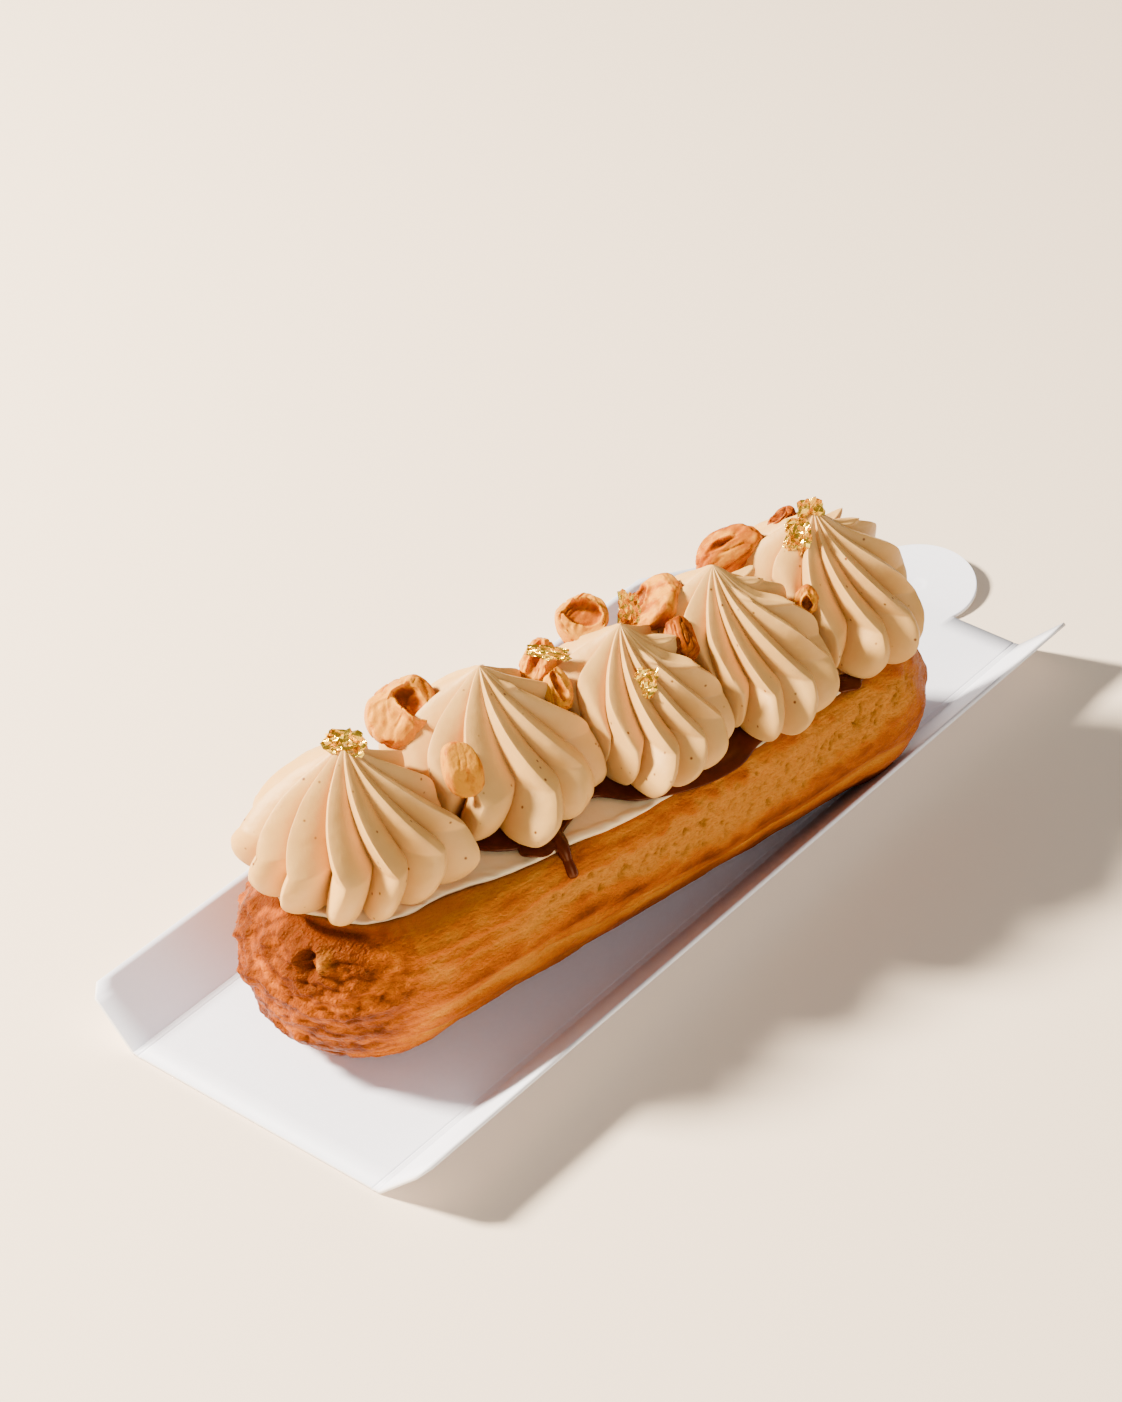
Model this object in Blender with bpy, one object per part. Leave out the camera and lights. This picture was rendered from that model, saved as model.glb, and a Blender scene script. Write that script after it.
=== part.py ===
"""Hazelnut praline eclair with five piped rosettes, lying in a folded card tray.

Metres throughout. +Z is up and +X runs along the eclair, from its near end to its far end.
The origin is on the underside of the tray, below the middle of the eclair.
"""
import math

import bmesh
import bpy
import numpy as np
from mathutils import Matrix, Vector

# Clearance kept between pieces that touch
GAP = 0.0003

# Card tray: a strip with both long edges folded up and a round lifting tab on its far end
CARD_THICKNESS = 0.00075
TRAY_LENGTH = 0.1796
TRAY_BASE_WIDTH = 0.0504
TRAY_CENTRE = (0.0105, 0.0079)
TRAY_TURN = math.radians(9.7)
FLAP_WIDTH = 0.0124
FLAP_ANGLE = math.radians(45.0)
FLAP_CLIP = 0.002
# The far end of the left flap is cut off at a slant
FLAP_SLANT = 0.0360
TAB_RADIUS = 0.0115
TAB_REACH = 0.0038
TAB_LIFT = 0.002
TAB_STRIPS = 8

# Choux bun: a profile carried round a straight spine, so that its plan is a strip with round ends
SPINE_NEAR = -0.0450
SPINE_FAR = 0.0462
BUN_BOTTOM = CARD_THICKNESS + GAP
RIM_HEIGHT = 0.0286
SIDE_STEPS = 18
END_STEPS = 16
# Outer profile as distance from the spine and height, from the flat underside up to the cut rim
SIDE_PROFILE = ((0.0080, BUN_BOTTOM), (0.0108, 0.0022), (0.0142, 0.0050), (0.0173, 0.0088), (0.0198, 0.0130),
                (0.0209, 0.0180), (0.0204, 0.0222), (0.0192, 0.0258), (0.0178, 0.0280), (0.0166, RIM_HEIGHT))
END_PROFILE = ((0.0110, BUN_BOTTOM), (0.0160, 0.0026), (0.0200, 0.0060), (0.0222, 0.0100), (0.0233, 0.0140),
               (0.0234, 0.0180), (0.0226, 0.0220), (0.0210, 0.0256), (0.0192, 0.0278), (0.0172, RIM_HEIGHT))
OUTER_RINGS = 19
# How high the crust's long ridges, crags and small knobs stand, and how far apart they lie
CRUST_RIDGE = (0.00055, 0.0056)
CRUST_CRAG = (0.0007, 0.0080)
CRUST_KNOB = (0.00045, 0.0045)
# The top was cut off unevenly. Each hill is how far the rim stands out, where along X, and how wide it is
RIM_BULGE = (0.0016, 0.0140, 0.022)
RIM_NOTCH = (-0.0040, -0.0460, 0.013)
RIM_WAVE = (0.0008, 0.016)
RIM_SHARE_WIDTH = 0.0025
RIM_LEAST_SHIFT = -0.0006
# The trough hollowed in the top, from the rim down to its flat floor
TROUGH_PROFILE = ((0.0154, 0.0283), (0.0148, 0.0266), (0.0142, 0.0240), (0.0125, 0.0222), (0.0105, 0.0218))

# Cream filling: it fills the trough and swells a little over the rim
FILLING_PROFILE = ((0.0102, 0.0221), (0.0122, 0.0225), (0.0138, 0.0243), (0.0144, 0.0267), (0.0150, 0.0286),
                   (0.0156, 0.0291), (0.0150, 0.0293), (0.0130, 0.0293))
FILLING_TOP = 0.0293
# Two places where it bulges over the rim, as hills along X
FILLING_FRONT_BULGE = (0.0012, -0.0080, 0.007)
FILLING_END_BULGE = (0.0022, -0.0600, 0.009)
FILLING_SIDE_STEPS = 12
FILLING_END_STEPS = 10

# Praline: a thin poured layer on the filling, with an uneven edge that shows between the rosettes
PRALINE_BOTTOM = FILLING_TOP + GAP
PRALINE_THICKNESS = 0.0009
PRALINE_ENDS = (-0.0345, 0.0395)
PRALINE_POINTS = 60
PRALINE_HALF_WIDTH = 0.0142
PRALINE_SQUARENESS = 0.45
# Its reach towards the right side, along X: it runs out to the rim in pools, and leaves the filling bare between
PRALINE_RIGHT_EDGE = ((-0.0345, 0.0060), (-0.0280, 0.0135), (-0.0225, 0.0162), (-0.0165, 0.0135), (-0.0100, 0.0108),
                      (-0.0045, 0.0155), (0.0050, 0.0176), (0.0140, 0.0184), (0.0205, 0.0176), (0.0285, 0.0180),
                      (0.0340, 0.0150), (0.0395, 0.0130))
# Rounded edge of the layer: how far each ring is drawn in, and its share of the thickness
PRALINE_EDGE_RINGS = ((0.0014, 0.0), (0.0002, 0.0), (0.0, 0.45), (0.0006, 0.9), (0.0022, 1.0))
PRALINE_TOP = PRALINE_BOTTOM + PRALINE_THICKNESS

# Rosettes from the near end to the far end
# The first and the last rosette stand on the filling, and those between stand on the praline
ROSETTE_BASES = (FILLING_TOP + GAP, PRALINE_TOP + GAP, PRALINE_TOP + GAP, PRALINE_TOP + GAP, FILLING_TOP + GAP)
ROSETTE_CENTRES = ((-0.0490, 0.0015), (-0.0205, 0.0018), (0.0028, -0.0036), (0.0247, -0.0038), (0.0500, 0.0))
ROSETTE_RADII = (0.0188, 0.0182, 0.0180, 0.0184, 0.0186)
ROSETTE_TIPS = ((-0.0486, 0.0035, 0.0525), (-0.0200, 0.0050, 0.0525), (0.0050, -0.0005, 0.0515),
                (0.0270, 0.0010, 0.0520), (0.0500, 0.0006, 0.0525))
# Directions of the ridge crests at the widest level, seen from above, in degrees from +X
RIDGE_DEGREES = (
    (-182, -158, -126, -96, -66, -40, -5, 26, 57, 88, 119, 150),
    (-193, -160, -127, -88, -60, -24, 9, 41, 73, 104, 136),
    (-195, -160, -124, -98, -76, -54, -28, 6, 44, 73, 100, 127),
    (-184, -150, -118, -94, -72, -50, -24, 6, 38, 70, 106, 142),
    (-195, -160, -118, -92, -70, -46, -18, 14, 44, 74, 104, 134),
)
# Planes across X where neighbouring rosettes press against each other
CONTACT_PLANES = (-0.1, -0.0348, -0.0058, 0.0170, 0.0398, 0.1)
CONTACT_SOFTNESS = 0.0022
POINTS_PER_RIDGE = 4
ROSETTE_RINGS = 11
# Flank of a rosette as fractions of its radius and height, from the tip down to the edge of its flat base
ROSETTE_PROFILE = ((0.0, 1.0), (0.10, 0.955), (0.25, 0.87), (0.49, 0.74), (0.75, 0.57), (0.93, 0.41),
                   (1.0, 0.28), (0.975, 0.15), (0.87, 0.045), (0.72, 0.0))
# A groove lies nearer to the next crest than to the one before it: its place between them at the tip and at the base
GROOVE_PLACES = (0.72, 0.56)
# Depth of the grooves as a share of the radius, from the tip down to the base
RIDGE_DEPTHS = ((0.0, 0.20), (0.15, 0.34), (0.45, 0.38), (0.75, 0.36), (1.0, 0.34))
# The ridges are sharp fins above, and below they round out to fingers over this range of the drop
FIN_POWER = 1.15
ROUNDING_RANGE = (0.20, 0.85)
TIP_LEAN = 1.5
# Unevenness of the outline, in two and in five waves round the axis
ROSETTE_UNEVEN = (0.03, 0.025)
# The ridges turn on their way down, and from a certain drop on they hook back, in radians
RIDGE_TWIST = 0.50
RIDGE_HOOK = 0.40
WIDEST_DROP = 0.73
HOOK_START = 0.60
# How far the lower part reaches, by direction: degrees from +X and share of the usual
FOOT_REACHES = (
    ((-210, 0.98), (-175, 0.93), (-155, 0.88), (-126, 0.86), (-100, 0.84),
     (-59, 0.94), (-43, 1.0), (0, 1.0), (90, 1.0)),
    ((-200, 0.95), (-146, 0.87), (-109, 1.05), (-71, 0.97), (-56, 1.04),
     (-43, 1.05), (0, 1.0), (90, 1.0)),
    ((-220, 0.85), (-137, 0.97), (-104, 1.04), (-81, 1.08), (-64, 1.07),
     (-40, 1.0), (0, 1.0), (90, 0.95)),
    ((-180, 0.90), (-126, 0.82), (-107, 1.06), (-79, 1.08), (-62, 1.09),
     (-46, 1.06), (0, 1.0), (90, 0.95)),
    ((-180, 0.95), (-140, 1.02), (-113, 1.09), (-84, 1.06), (-70, 1.05),
     (-61, 1.00), (-30, 0.93), (0, 0.92), (90, 0.96)),
)
FOOT_RANGE = (0.35, 0.85)
# Fuller shoulders on one side: share of the radius for each rosette, then their direction, drop and width
SHOULDERS = (0.02, 0.06, 0.16, 0.24, 0.20)
SHOULDER_DIRECTION = math.radians(-25.0)
SHOULDER_DROP = (0.30, 0.17)

# Toasted hazelnuts and broken pieces: centre, half sizes, the way the split side looks, and where it is split
HAZELNUTS = {
    "hazelnut_whole_1": ((-0.0302, 0.0116, 0.0444), (0.0070, 0.0060, 0.0052), (-0.50, -0.45, 0.74), 0.66),
    "hazelnut_half_2": ((-0.0320, -0.0047, 0.0436), (0.0044, 0.0036, 0.0026), (0.13, 0.67, -0.73), 0.45),
    "hazelnut_piece_3": ((-0.0052, 0.0075, 0.0445), (0.0044, 0.0034, 0.0028), (-0.60, -0.30, 0.74), 0.50),
    "hazelnut_piece_4": ((-0.0079, 0.0005, 0.0442), (0.0044, 0.0026, 0.0022), (-0.20, -0.60, 0.77), 0.55),
    "hazelnut_cup_5": ((0.0053, 0.0087, 0.0476), (0.0050, 0.0046, 0.0036), (-0.35, -0.35, 0.87), 0.30),
    "hazelnut_piece_6": ((0.0157, -0.0036, 0.0447), (0.0044, 0.0030, 0.0026), (0.20, 0.40, -0.89), 0.60),
    "hazelnut_half_7": ((0.0190, 0.0057, 0.0457), (0.0056, 0.0048, 0.0038), (-0.60, 0.30, 0.74), 0.50),
    "hazelnut_whole_8": ((0.0396, 0.0102, 0.0440), (0.0062, 0.0048, 0.0042), (-0.40, 0.20, 0.89), 0.70),
    "hazelnut_piece_9": ((0.0403, -0.0075, 0.0432), (0.0026, 0.0022, 0.0020), (-0.59, -0.56, 0.59), 0.50),
    "hazelnut_piece_10": ((0.0494, 0.0075, 0.0478), (0.0030, 0.0022, 0.0016), (-0.46, 0.52, 0.72), 0.50),
}
NUT_AROUND = 12
NUT_RINGS = 7
NUT_UNEVEN = 0.10
NUT_LUMP_SIZE = 1.6
# The hollow in the split face: how deep it is, and the square of its radius, in half sizes
NUT_HOLLOW = (0.35, 0.45)

# Gold leaf flakes: the rosette that each is fused to, its centre, half sizes, and the way its thin side looks
GOLD_FLAKES = (
    (1, (-0.0488, 0.0038, 0.0522), (0.0036, 0.0024, 0.0006), (-0.30, -0.20, 0.93)),
    (3, (0.0024, -0.0091, 0.0460), (0.0024, 0.0020, 0.0006), (-0.64, -0.40, 0.65)),
    (3, (0.0108, 0.0036, 0.0487), (0.0042, 0.0018, 0.0007), (-0.60, -0.78, 0.15)),
    (5, (0.0490, 0.0013, 0.0526), (0.0034, 0.0020, 0.0007), (-0.50, -0.85, 0.15)),
    (5, (0.0450, 0.0004, 0.0497), (0.0024, 0.0018, 0.0007), (-0.80, -0.50, 0.35)),
)


def clear_scene():
    """Removes every object that a new scene starts with."""
    for item in list(bpy.data.objects):
        bpy.data.objects.remove(item, do_unlink=True)


def food_material(name, colour, roughness):
    """A Principled material with one colour and roughness."""
    material = bpy.data.materials.new(name)
    material.use_nodes = True
    shader = material.node_tree.nodes["Principled BSDF"]
    shader.inputs["Base Color"].default_value = (*colour, 1.0)
    shader.inputs["Roughness"].default_value = roughness
    return material


def add_piece(name, vertices, faces, material):
    """One smooth shaded object from its vertices and faces."""
    mesh = bpy.data.meshes.new(name)
    mesh.from_pydata([tuple(point) for point in vertices], [], faces)
    mesh.shade_smooth()
    mesh.materials.append(material)
    piece = bpy.data.objects.new(name, mesh)
    bpy.context.scene.collection.objects.link(piece)
    return piece


def smooth_path(points, count):
    """Points evenly spaced along a smooth curve (Catmull-Rom) through the given ones."""
    knots = np.array(points, dtype=float)
    padded = np.vstack([2 * knots[0] - knots[1], knots, 2 * knots[-1] - knots[-2]])
    steps = np.linspace(0.0, 1.0, 24, endpoint=False)[:, None]
    pieces = []
    for a, b, c, d in zip(padded[:-3], padded[1:-2], padded[2:-1], padded[3:]):
        pieces.append(0.5 * (2 * b + (c - a) * steps + (2 * a - 5 * b + 4 * c - d) * steps**2
                             + (3 * b - a - 3 * c + d) * steps**3))
    curve = np.vstack(pieces + [knots[-1:]])
    travelled = np.concatenate([[0.0], np.cumsum(np.linalg.norm(np.diff(curve, axis=0), axis=1))])
    wanted = np.linspace(0.0, travelled[-1], count)
    return np.stack([np.interp(wanted, travelled, curve[:, axis]) for axis in range(curve.shape[1])], axis=1)


def lumps(points, size, seed, waves=7):
    """Unevenness between about -1 and 1: sine waves of one size in seeded directions, added up."""
    rng = np.random.default_rng(seed)
    directions = rng.normal(size=(waves, 3))
    directions /= np.linalg.norm(directions, axis=1, keepdims=True)
    lengths = size * rng.uniform(0.7, 1.4, waves)
    phases = rng.uniform(0.0, math.tau, waves)
    return np.sin(points @ (directions / lengths[:, None]).T * math.tau + phases).mean(axis=-1) * 1.6


def hill(x, shape):
    """A smooth hill along x, from its height, its place and its width."""
    height, place, width = shape
    return height * np.exp(-((x - place) / width) ** 2)


def step_up(x, low, high):
    """0 below low, 1 above high, and a smooth rise between them."""
    share = np.clip((x - low) / (high - low), 0.0, 1.0)
    return share * share * (3.0 - 2.0 * share)


def spine_stations(side_steps, end_steps):
    """Spine position and outward angle for each step round a strip with round ends."""
    along = np.linspace(SPINE_NEAR, SPINE_FAR, side_steps, endpoint=False)
    back = np.linspace(SPINE_FAR, SPINE_NEAR, side_steps, endpoint=False)
    turn = np.linspace(0.0, math.pi, end_steps, endpoint=False)
    spine = np.concatenate([along, np.full(end_steps, SPINE_FAR), back, np.full(end_steps, SPINE_NEAR)])
    angle = np.concatenate([np.full(side_steps, -math.pi / 2), turn - math.pi / 2,
                            np.full(side_steps, math.pi / 2), turn + math.pi / 2])
    return spine, angle


def ring_faces(ring_count, around, closed_top=True, closed_bottom=True):
    """Quads between rings of equal size, with one face closing each end."""
    faces = []
    for ring in range(ring_count - 1):
        low = ring * around
        for step in range(around):
            after = (step + 1) % around
            faces.append((low + step, low + after, low + around + after, low + around + step))
    if closed_bottom:
        faces.append(tuple(reversed(range(around))))
    if closed_top:
        start = (ring_count - 1) * around
        faces.append(tuple(range(start, start + around)))
    return faces


def rim_shift(x, y):
    """How far the cut rim lies outside its usual line, because the top was cut off unevenly."""
    front = hill(x, RIM_BULGE) + hill(x, RIM_NOTCH)
    back = RIM_WAVE[0] * np.sin(x / RIM_WAVE[1] + 1.0)
    share = 1.0 / (1.0 + np.exp(y / RIM_SHARE_WIDTH))
    return front * share + back * (1.0 - share)


def crust_relief(points, height, ends):
    """Outward relief of the crust: ridges along the sides, knobs and crags on both ends."""
    x = points[..., 0]
    wander = 0.0011 * np.sin(x / 0.021 + 0.6) + 0.0006 * np.sin(x / 0.009)
    ridges = CRUST_RIDGE[0] * np.cos((height - 0.0035 + wander) / CRUST_RIDGE[1] * math.tau)
    fade = np.clip((height - 0.002) / 0.004, 0.0, 1.0) * np.clip((0.0262 - height) / 0.004, 0.0, 1.0)
    crags = CRUST_CRAG[0] * lumps(points, CRUST_CRAG[1], 5) + CRUST_KNOB[0] * lumps(points, CRUST_KNOB[1], 6)
    knob_fade = np.clip((height - 0.002) / 0.004, 0.0, 1.0) * np.clip((0.0284 - height) / 0.002, 0.0, 1.0)
    return ridges * fade * (1.0 - 0.7 * ends) + crags * knob_fade * (0.25 + 0.75 * ends)


def choux_bun():
    """The baked shell: its outer profile swept round the spine, then down into the trough."""
    spine, angle = spine_stations(SIDE_STEPS, END_STEPS)
    ends = np.abs(np.cos(angle))
    side = smooth_path(SIDE_PROFILE, OUTER_RINGS)
    end = smooth_path(END_PROFILE, OUTER_RINGS)
    trough = np.array(TROUGH_PROFILE)
    rings = []
    for ring in range(OUTER_RINGS):
        radius = side[ring, 0] * (1.0 - ends) + end[ring, 0] * ends
        height = side[ring, 1] * (1.0 - ends) + end[ring, 1] * ends
        points = np.stack([spine + radius * np.cos(angle), radius * np.sin(angle), height], axis=1)
        upper = np.clip((height - 0.020) / (RIM_HEIGHT - 0.020), 0.0, 1.0)
        outward = np.maximum(rim_shift(points[:, 0], points[:, 1]), RIM_LEAST_SHIFT)
        radius = radius + crust_relief(points, height, ends) + 0.7 * upper * outward
        rings.append(np.stack([spine + radius * np.cos(angle), radius * np.sin(angle), height], axis=1))
    for radius, height in trough:
        plain = np.stack([spine + radius * np.cos(angle), radius * np.sin(angle)], axis=1)
        radius = radius + rim_shift(plain[:, 0], plain[:, 1])
        rings.append(np.stack([spine + radius * np.cos(angle), radius * np.sin(angle),
                               np.full(len(angle), height)], axis=1))
    crust = food_material("choux_crust", (0.52, 0.24, 0.07), 0.45)
    add_piece("choux_bun", np.vstack(rings), ring_faces(len(rings), len(angle)), crust)


def cream_filling():
    """Vanilla cream: it fills the trough, and its edge bulges unevenly over the rim."""
    spine, angle = spine_stations(FILLING_SIDE_STEPS, FILLING_END_STEPS)
    rings = []
    for base_radius, height in FILLING_PROFILE:
        plain = np.stack([spine + base_radius * np.cos(angle), base_radius * np.sin(angle)], axis=1)
        radius = base_radius + rim_shift(plain[:, 0], plain[:, 1])
        above_rim = 1.0 if height > RIM_HEIGHT else 0.0
        bulge = hill(plain[:, 0], FILLING_FRONT_BULGE) * (plain[:, 1] < 0.0)
        bulge = bulge + hill(plain[:, 0], FILLING_END_BULGE) * np.clip(plain[:, 1] / 0.006 + 0.6, 0.0, 1.0)
        radius = radius + above_rim * bulge
        rings.append(np.stack([spine + radius * np.cos(angle), radius * np.sin(angle),
                               np.full(len(angle), height)], axis=1))
    cream = food_material("filling_cream", (0.86, 0.78, 0.62), 0.5)
    add_piece("cream_filling", np.vstack(rings), ring_faces(len(rings), len(angle)), cream)


def praline_edge(x, side):
    """Half width of the praline layer at x, on the side given by its sign."""
    left = PRALINE_HALF_WIDTH + 0.0012 * np.sin(x / 0.0042 + 1.0) + 0.0009 * np.sin(x / 0.0023 + 2.0)
    edge = smooth_path(PRALINE_RIGHT_EDGE, PRALINE_POINTS)
    right = np.interp(x, edge[:, 0], edge[:, 1])
    return np.where(side < 0.0, right, left)


def praline_layer():
    """Praline sauce: a flat slab with an uneven outline and a rounded edge."""
    middle = sum(PRALINE_ENDS) / 2
    reach = (PRALINE_ENDS[1] - PRALINE_ENDS[0]) / 2
    angle = np.linspace(0.0, math.tau, PRALINE_POINTS, endpoint=False)
    x = middle + reach * np.cos(angle)
    side = np.sign(np.sin(angle) + 1e-9)
    y = praline_edge(x, side) * np.sign(np.sin(angle)) * np.abs(np.sin(angle)) ** PRALINE_SQUARENESS
    rings = []
    for inset, level in PRALINE_EDGE_RINGS:
        shrink = 1.0 - inset / reach
        half = 1.0 - inset / PRALINE_HALF_WIDTH
        rings.append(np.stack([middle + (x - middle) * shrink, y * half,
                               np.full(PRALINE_POINTS, PRALINE_BOTTOM + level * PRALINE_THICKNESS)], axis=1))
    sauce = food_material("praline_sauce", (0.16, 0.055, 0.02), 0.2)
    add_piece("praline_layer", np.vstack(rings), ring_faces(len(rings), PRALINE_POINTS), sauce)


def press_flat(x, low, high):
    """Presses x smoothly inside two planes: past a soft edge it only creeps towards the plane."""
    soft = CONTACT_SOFTNESS
    over = np.maximum(x - (high - soft), 0.0)
    x = np.where(over > 0.0, high - soft * np.exp(-over / soft), x)
    under = np.maximum((low + soft) - x, 0.0)
    return np.where(under > 0.0, low + soft * np.exp(-under / soft), x)


def rosette_surface(index, rings, around):
    """Points of a rosette: round its axis go ridges that twist down from a pointed tip to a flat base."""
    centre = np.array(ROSETTE_CENTRES[index])
    tip = np.array(ROSETTE_TIPS[index])
    flank = smooth_path(ROSETTE_PROFILE, rings)
    spread = flank[:, :1]
    drop = 1.0 - flank[:, 1:]
    crests = np.radians(np.array(RIDGE_DEGREES[index] + (RIDGE_DEGREES[index][0] + 360,), dtype=float))
    high, low = [np.append(np.stack([crests[:-1], crests[:-1] + place * np.diff(crests)], axis=1), crests[-1])
                 for place in GROOVE_PLACES]
    # The phase is whole at each crest and half at each groove
    phase = np.arange(around)[None, :] / POINTS_PER_RIDGE
    marks = np.arange(len(high)) / 2
    angle = np.interp(phase, marks, high) * (1.0 - drop) + np.interp(phase, marks, low) * drop
    off_crest = np.abs((phase + 0.5) % 1.0 - 0.5) * 2.0
    hooked = np.maximum(drop - HOOK_START, 0.0) / (1.0 - HOOK_START)
    angle = angle + RIDGE_TWIST * (drop - WIDEST_DROP) - RIDGE_HOOK * hooked
    depths = np.array(RIDGE_DEPTHS)
    depth = np.interp(drop, depths[:, 0], depths[:, 1])
    rounding = step_up(drop, *ROUNDING_RANGE)
    finger = 0.35 * off_crest**2 + 0.65 * (1.0 - np.sqrt(1.0 - 0.98 * off_crest**2))
    shape = off_crest**FIN_POWER * (1.0 - rounding) + finger * rounding
    uneven = 1.0 + ROSETTE_UNEVEN[0] * np.sin(2 * angle + index)
    uneven = uneven + ROSETTE_UNEVEN[1] * np.sin(5 * angle + 2.1 * index)
    radius = ROSETTE_RADII[index] * spread * (1.0 - depth * shape) * uneven
    sideways = np.clip(np.cos(angle - SHOULDER_DIRECTION), 0.0, 1.0)
    shoulder = np.exp(-((drop - SHOULDER_DROP[0]) / SHOULDER_DROP[1]) ** 2)
    radius = radius * (1.0 + SHOULDERS[index] * sideways * shoulder)
    feet = np.array(FOOT_REACHES[index], dtype=float)
    reached = np.interp(np.degrees(angle), feet[:, 0], feet[:, 1], period=360.0)
    radius = radius * (1.0 + (reached - 1.0) * step_up(drop, *FOOT_RANGE))
    lean = (1.0 - drop) ** TIP_LEAN
    x = centre[0] + (tip[0] - centre[0]) * lean + radius * np.cos(angle)
    y = centre[1] + (tip[1] - centre[1]) * lean + radius * np.sin(angle)
    base = ROSETTE_BASES[index]
    z = base + (tip[2] - base) * (1.0 - drop) + 0.0 * angle
    x = press_flat(x, CONTACT_PLANES[index] + GAP / 2, CONTACT_PLANES[index + 1] - GAP / 2)
    return np.stack([x, y, z], axis=-1)


def rosette(index, cream):
    """One piped rosette: its tip is one point, and its base is flat."""
    around = len(RIDGE_DEGREES[index]) * POINTS_PER_RIDGE
    surface = rosette_surface(index, ROSETTE_RINGS, around)
    upward = surface[:0:-1].reshape(-1, 3)
    vertices = np.vstack([upward, surface[0, :1]])
    ring_count = ROSETTE_RINGS - 1
    faces = ring_faces(ring_count, around, closed_top=False)
    top = (ring_count - 1) * around
    point = len(vertices) - 1
    for step in range(around):
        faces.append((top + step, top + (step + 1) % around, point))
    return add_piece(f"rosette_{index + 1}", vertices, faces, cream)


def placed(centre, looks):
    """The place of a small piece whose local Z looks one way, with its local X as upright as it can be."""
    return Matrix.LocRotScale(Vector(centre), Vector(looks).to_track_quat("Z", "X"), None)


def nut_mesh(name, half_sizes, split, seed, material, grow=0.0):
    """A hazelnut: an uneven ball, flattened where it split, with a shallow hollow in the split face."""
    rise = np.linspace(-math.pi / 2, math.pi / 2, NUT_RINGS + 2)[1:-1, None]
    angle = np.linspace(0.0, math.tau, NUT_AROUND, endpoint=False)[None, :]
    ball = np.stack([np.cos(rise) * np.cos(angle), np.cos(rise) * np.sin(angle),
                     np.sin(rise) + 0.0 * angle], axis=-1).reshape(-1, 3)
    ball = np.vstack([ball, [[0.0, 0.0, -1.0], [0.0, 0.0, 1.0]]])
    ball *= 1.0 + NUT_UNEVEN * lumps(ball, NUT_LUMP_SIZE, seed)[:, None]
    over = np.maximum(ball[:, 2] - split, 0.0)
    hollow = NUT_HOLLOW[0] * np.clip(1.0 - (ball[:, 0] ** 2 + ball[:, 1] ** 2) / NUT_HOLLOW[1], 0.0, 1.0)
    ball[:, 2] = np.where(over > 0.0, split + 0.12 * over - hollow * np.clip(over * 4.0, 0.0, 1.0), ball[:, 2])
    size = np.array(half_sizes)
    vertices = ball * (size + grow)
    south = len(vertices) - 2
    faces = ring_faces(NUT_RINGS, NUT_AROUND, closed_top=False, closed_bottom=False)
    last = (NUT_RINGS - 1) * NUT_AROUND
    for step in range(NUT_AROUND):
        after = (step + 1) % NUT_AROUND
        faces.append((after, step, south))
        faces.append((last + step, last + after, south + 1))
    return add_piece(name, vertices, faces, material)


def as_helper(piece):
    """Marks a cutter or a joined part, which isn't a piece of its own."""
    piece.hide_render = True
    piece.display_type = "WIRE"


def add_boolean(piece, operation, helpers):
    """Cuts away or joins on a collection of helpers."""
    modifier = piece.modifiers.new(operation.lower(), "BOOLEAN")
    modifier.operation = operation
    modifier.solver = "EXACT"
    modifier.operand_type = "COLLECTION"
    modifier.collection = helpers


def apply_modifiers(piece):
    """Replaces the piece's mesh by what its modifiers make of it."""
    graph = bpy.context.evaluated_depsgraph_get()
    made = bpy.data.meshes.new_from_object(piece.evaluated_get(graph))
    piece.modifiers.clear()
    piece.data = made


def hazelnuts(rosettes):
    """The nuts, and the pockets that they press into the rosettes."""
    kernel = food_material("toasted_hazelnut", (0.66, 0.38, 0.14), 0.4)
    pockets = bpy.data.collections.new("nut_pockets")
    bpy.context.scene.collection.children.link(pockets)
    for seed, (name, (centre, half_sizes, looks, split)) in enumerate(HAZELNUTS.items()):
        place = placed(centre, looks)
        nut = nut_mesh(name, half_sizes, split, seed, kernel)
        nut.matrix_world = place
        pocket = nut_mesh("pocket_" + name, half_sizes, split, seed, kernel, grow=1.5 * GAP)
        pocket.matrix_world = place
        bpy.context.scene.collection.objects.unlink(pocket)
        pockets.objects.link(pocket)
        as_helper(pocket)
    for piece in rosettes:
        add_boolean(piece, "DIFFERENCE", pockets)
    bpy.context.view_layer.update()
    for piece in rosettes:
        apply_modifiers(piece)
    for pocket in list(pockets.objects):
        bpy.data.objects.remove(pocket, do_unlink=True)


def gold_flakes(rosettes):
    """Crumpled scraps of gold leaf, each joined to its rosette."""
    for number, piece in enumerate(rosettes, start=1):
        flakes = bpy.data.collections.new(f"gold_on_{number}")
        bpy.context.scene.collection.children.link(flakes)
        for seed, (owner, centre, half_sizes, looks) in enumerate(GOLD_FLAKES):
            if owner != number:
                continue
            maker = bmesh.new()
            bmesh.ops.create_icosphere(maker, subdivisions=1, radius=1.0)
            corners = np.array([vertex.co for vertex in maker.verts])
            crumple = 1.0 + 0.25 * lumps(corners, 1.1, 40 + seed)
            for vertex, factor in zip(maker.verts, crumple):
                vertex.co = Vector((vertex.co.x * half_sizes[0] * factor, vertex.co.y * half_sizes[1] * factor,
                                    vertex.co.z * half_sizes[2] * factor))
            mesh = bpy.data.meshes.new("gold_flake")
            maker.to_mesh(mesh)
            maker.free()
            flake = bpy.data.objects.new(f"gold_flake_{seed}", mesh)
            flake.matrix_world = placed(centre, looks)
            flakes.objects.link(flake)
            as_helper(flake)
        if not flakes.objects:
            continue
        add_boolean(piece, "UNION", flakes)
        bpy.context.view_layer.update()
        apply_modifiers(piece)
        for flake in list(flakes.objects):
            bpy.data.objects.remove(flake, do_unlink=True)


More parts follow.
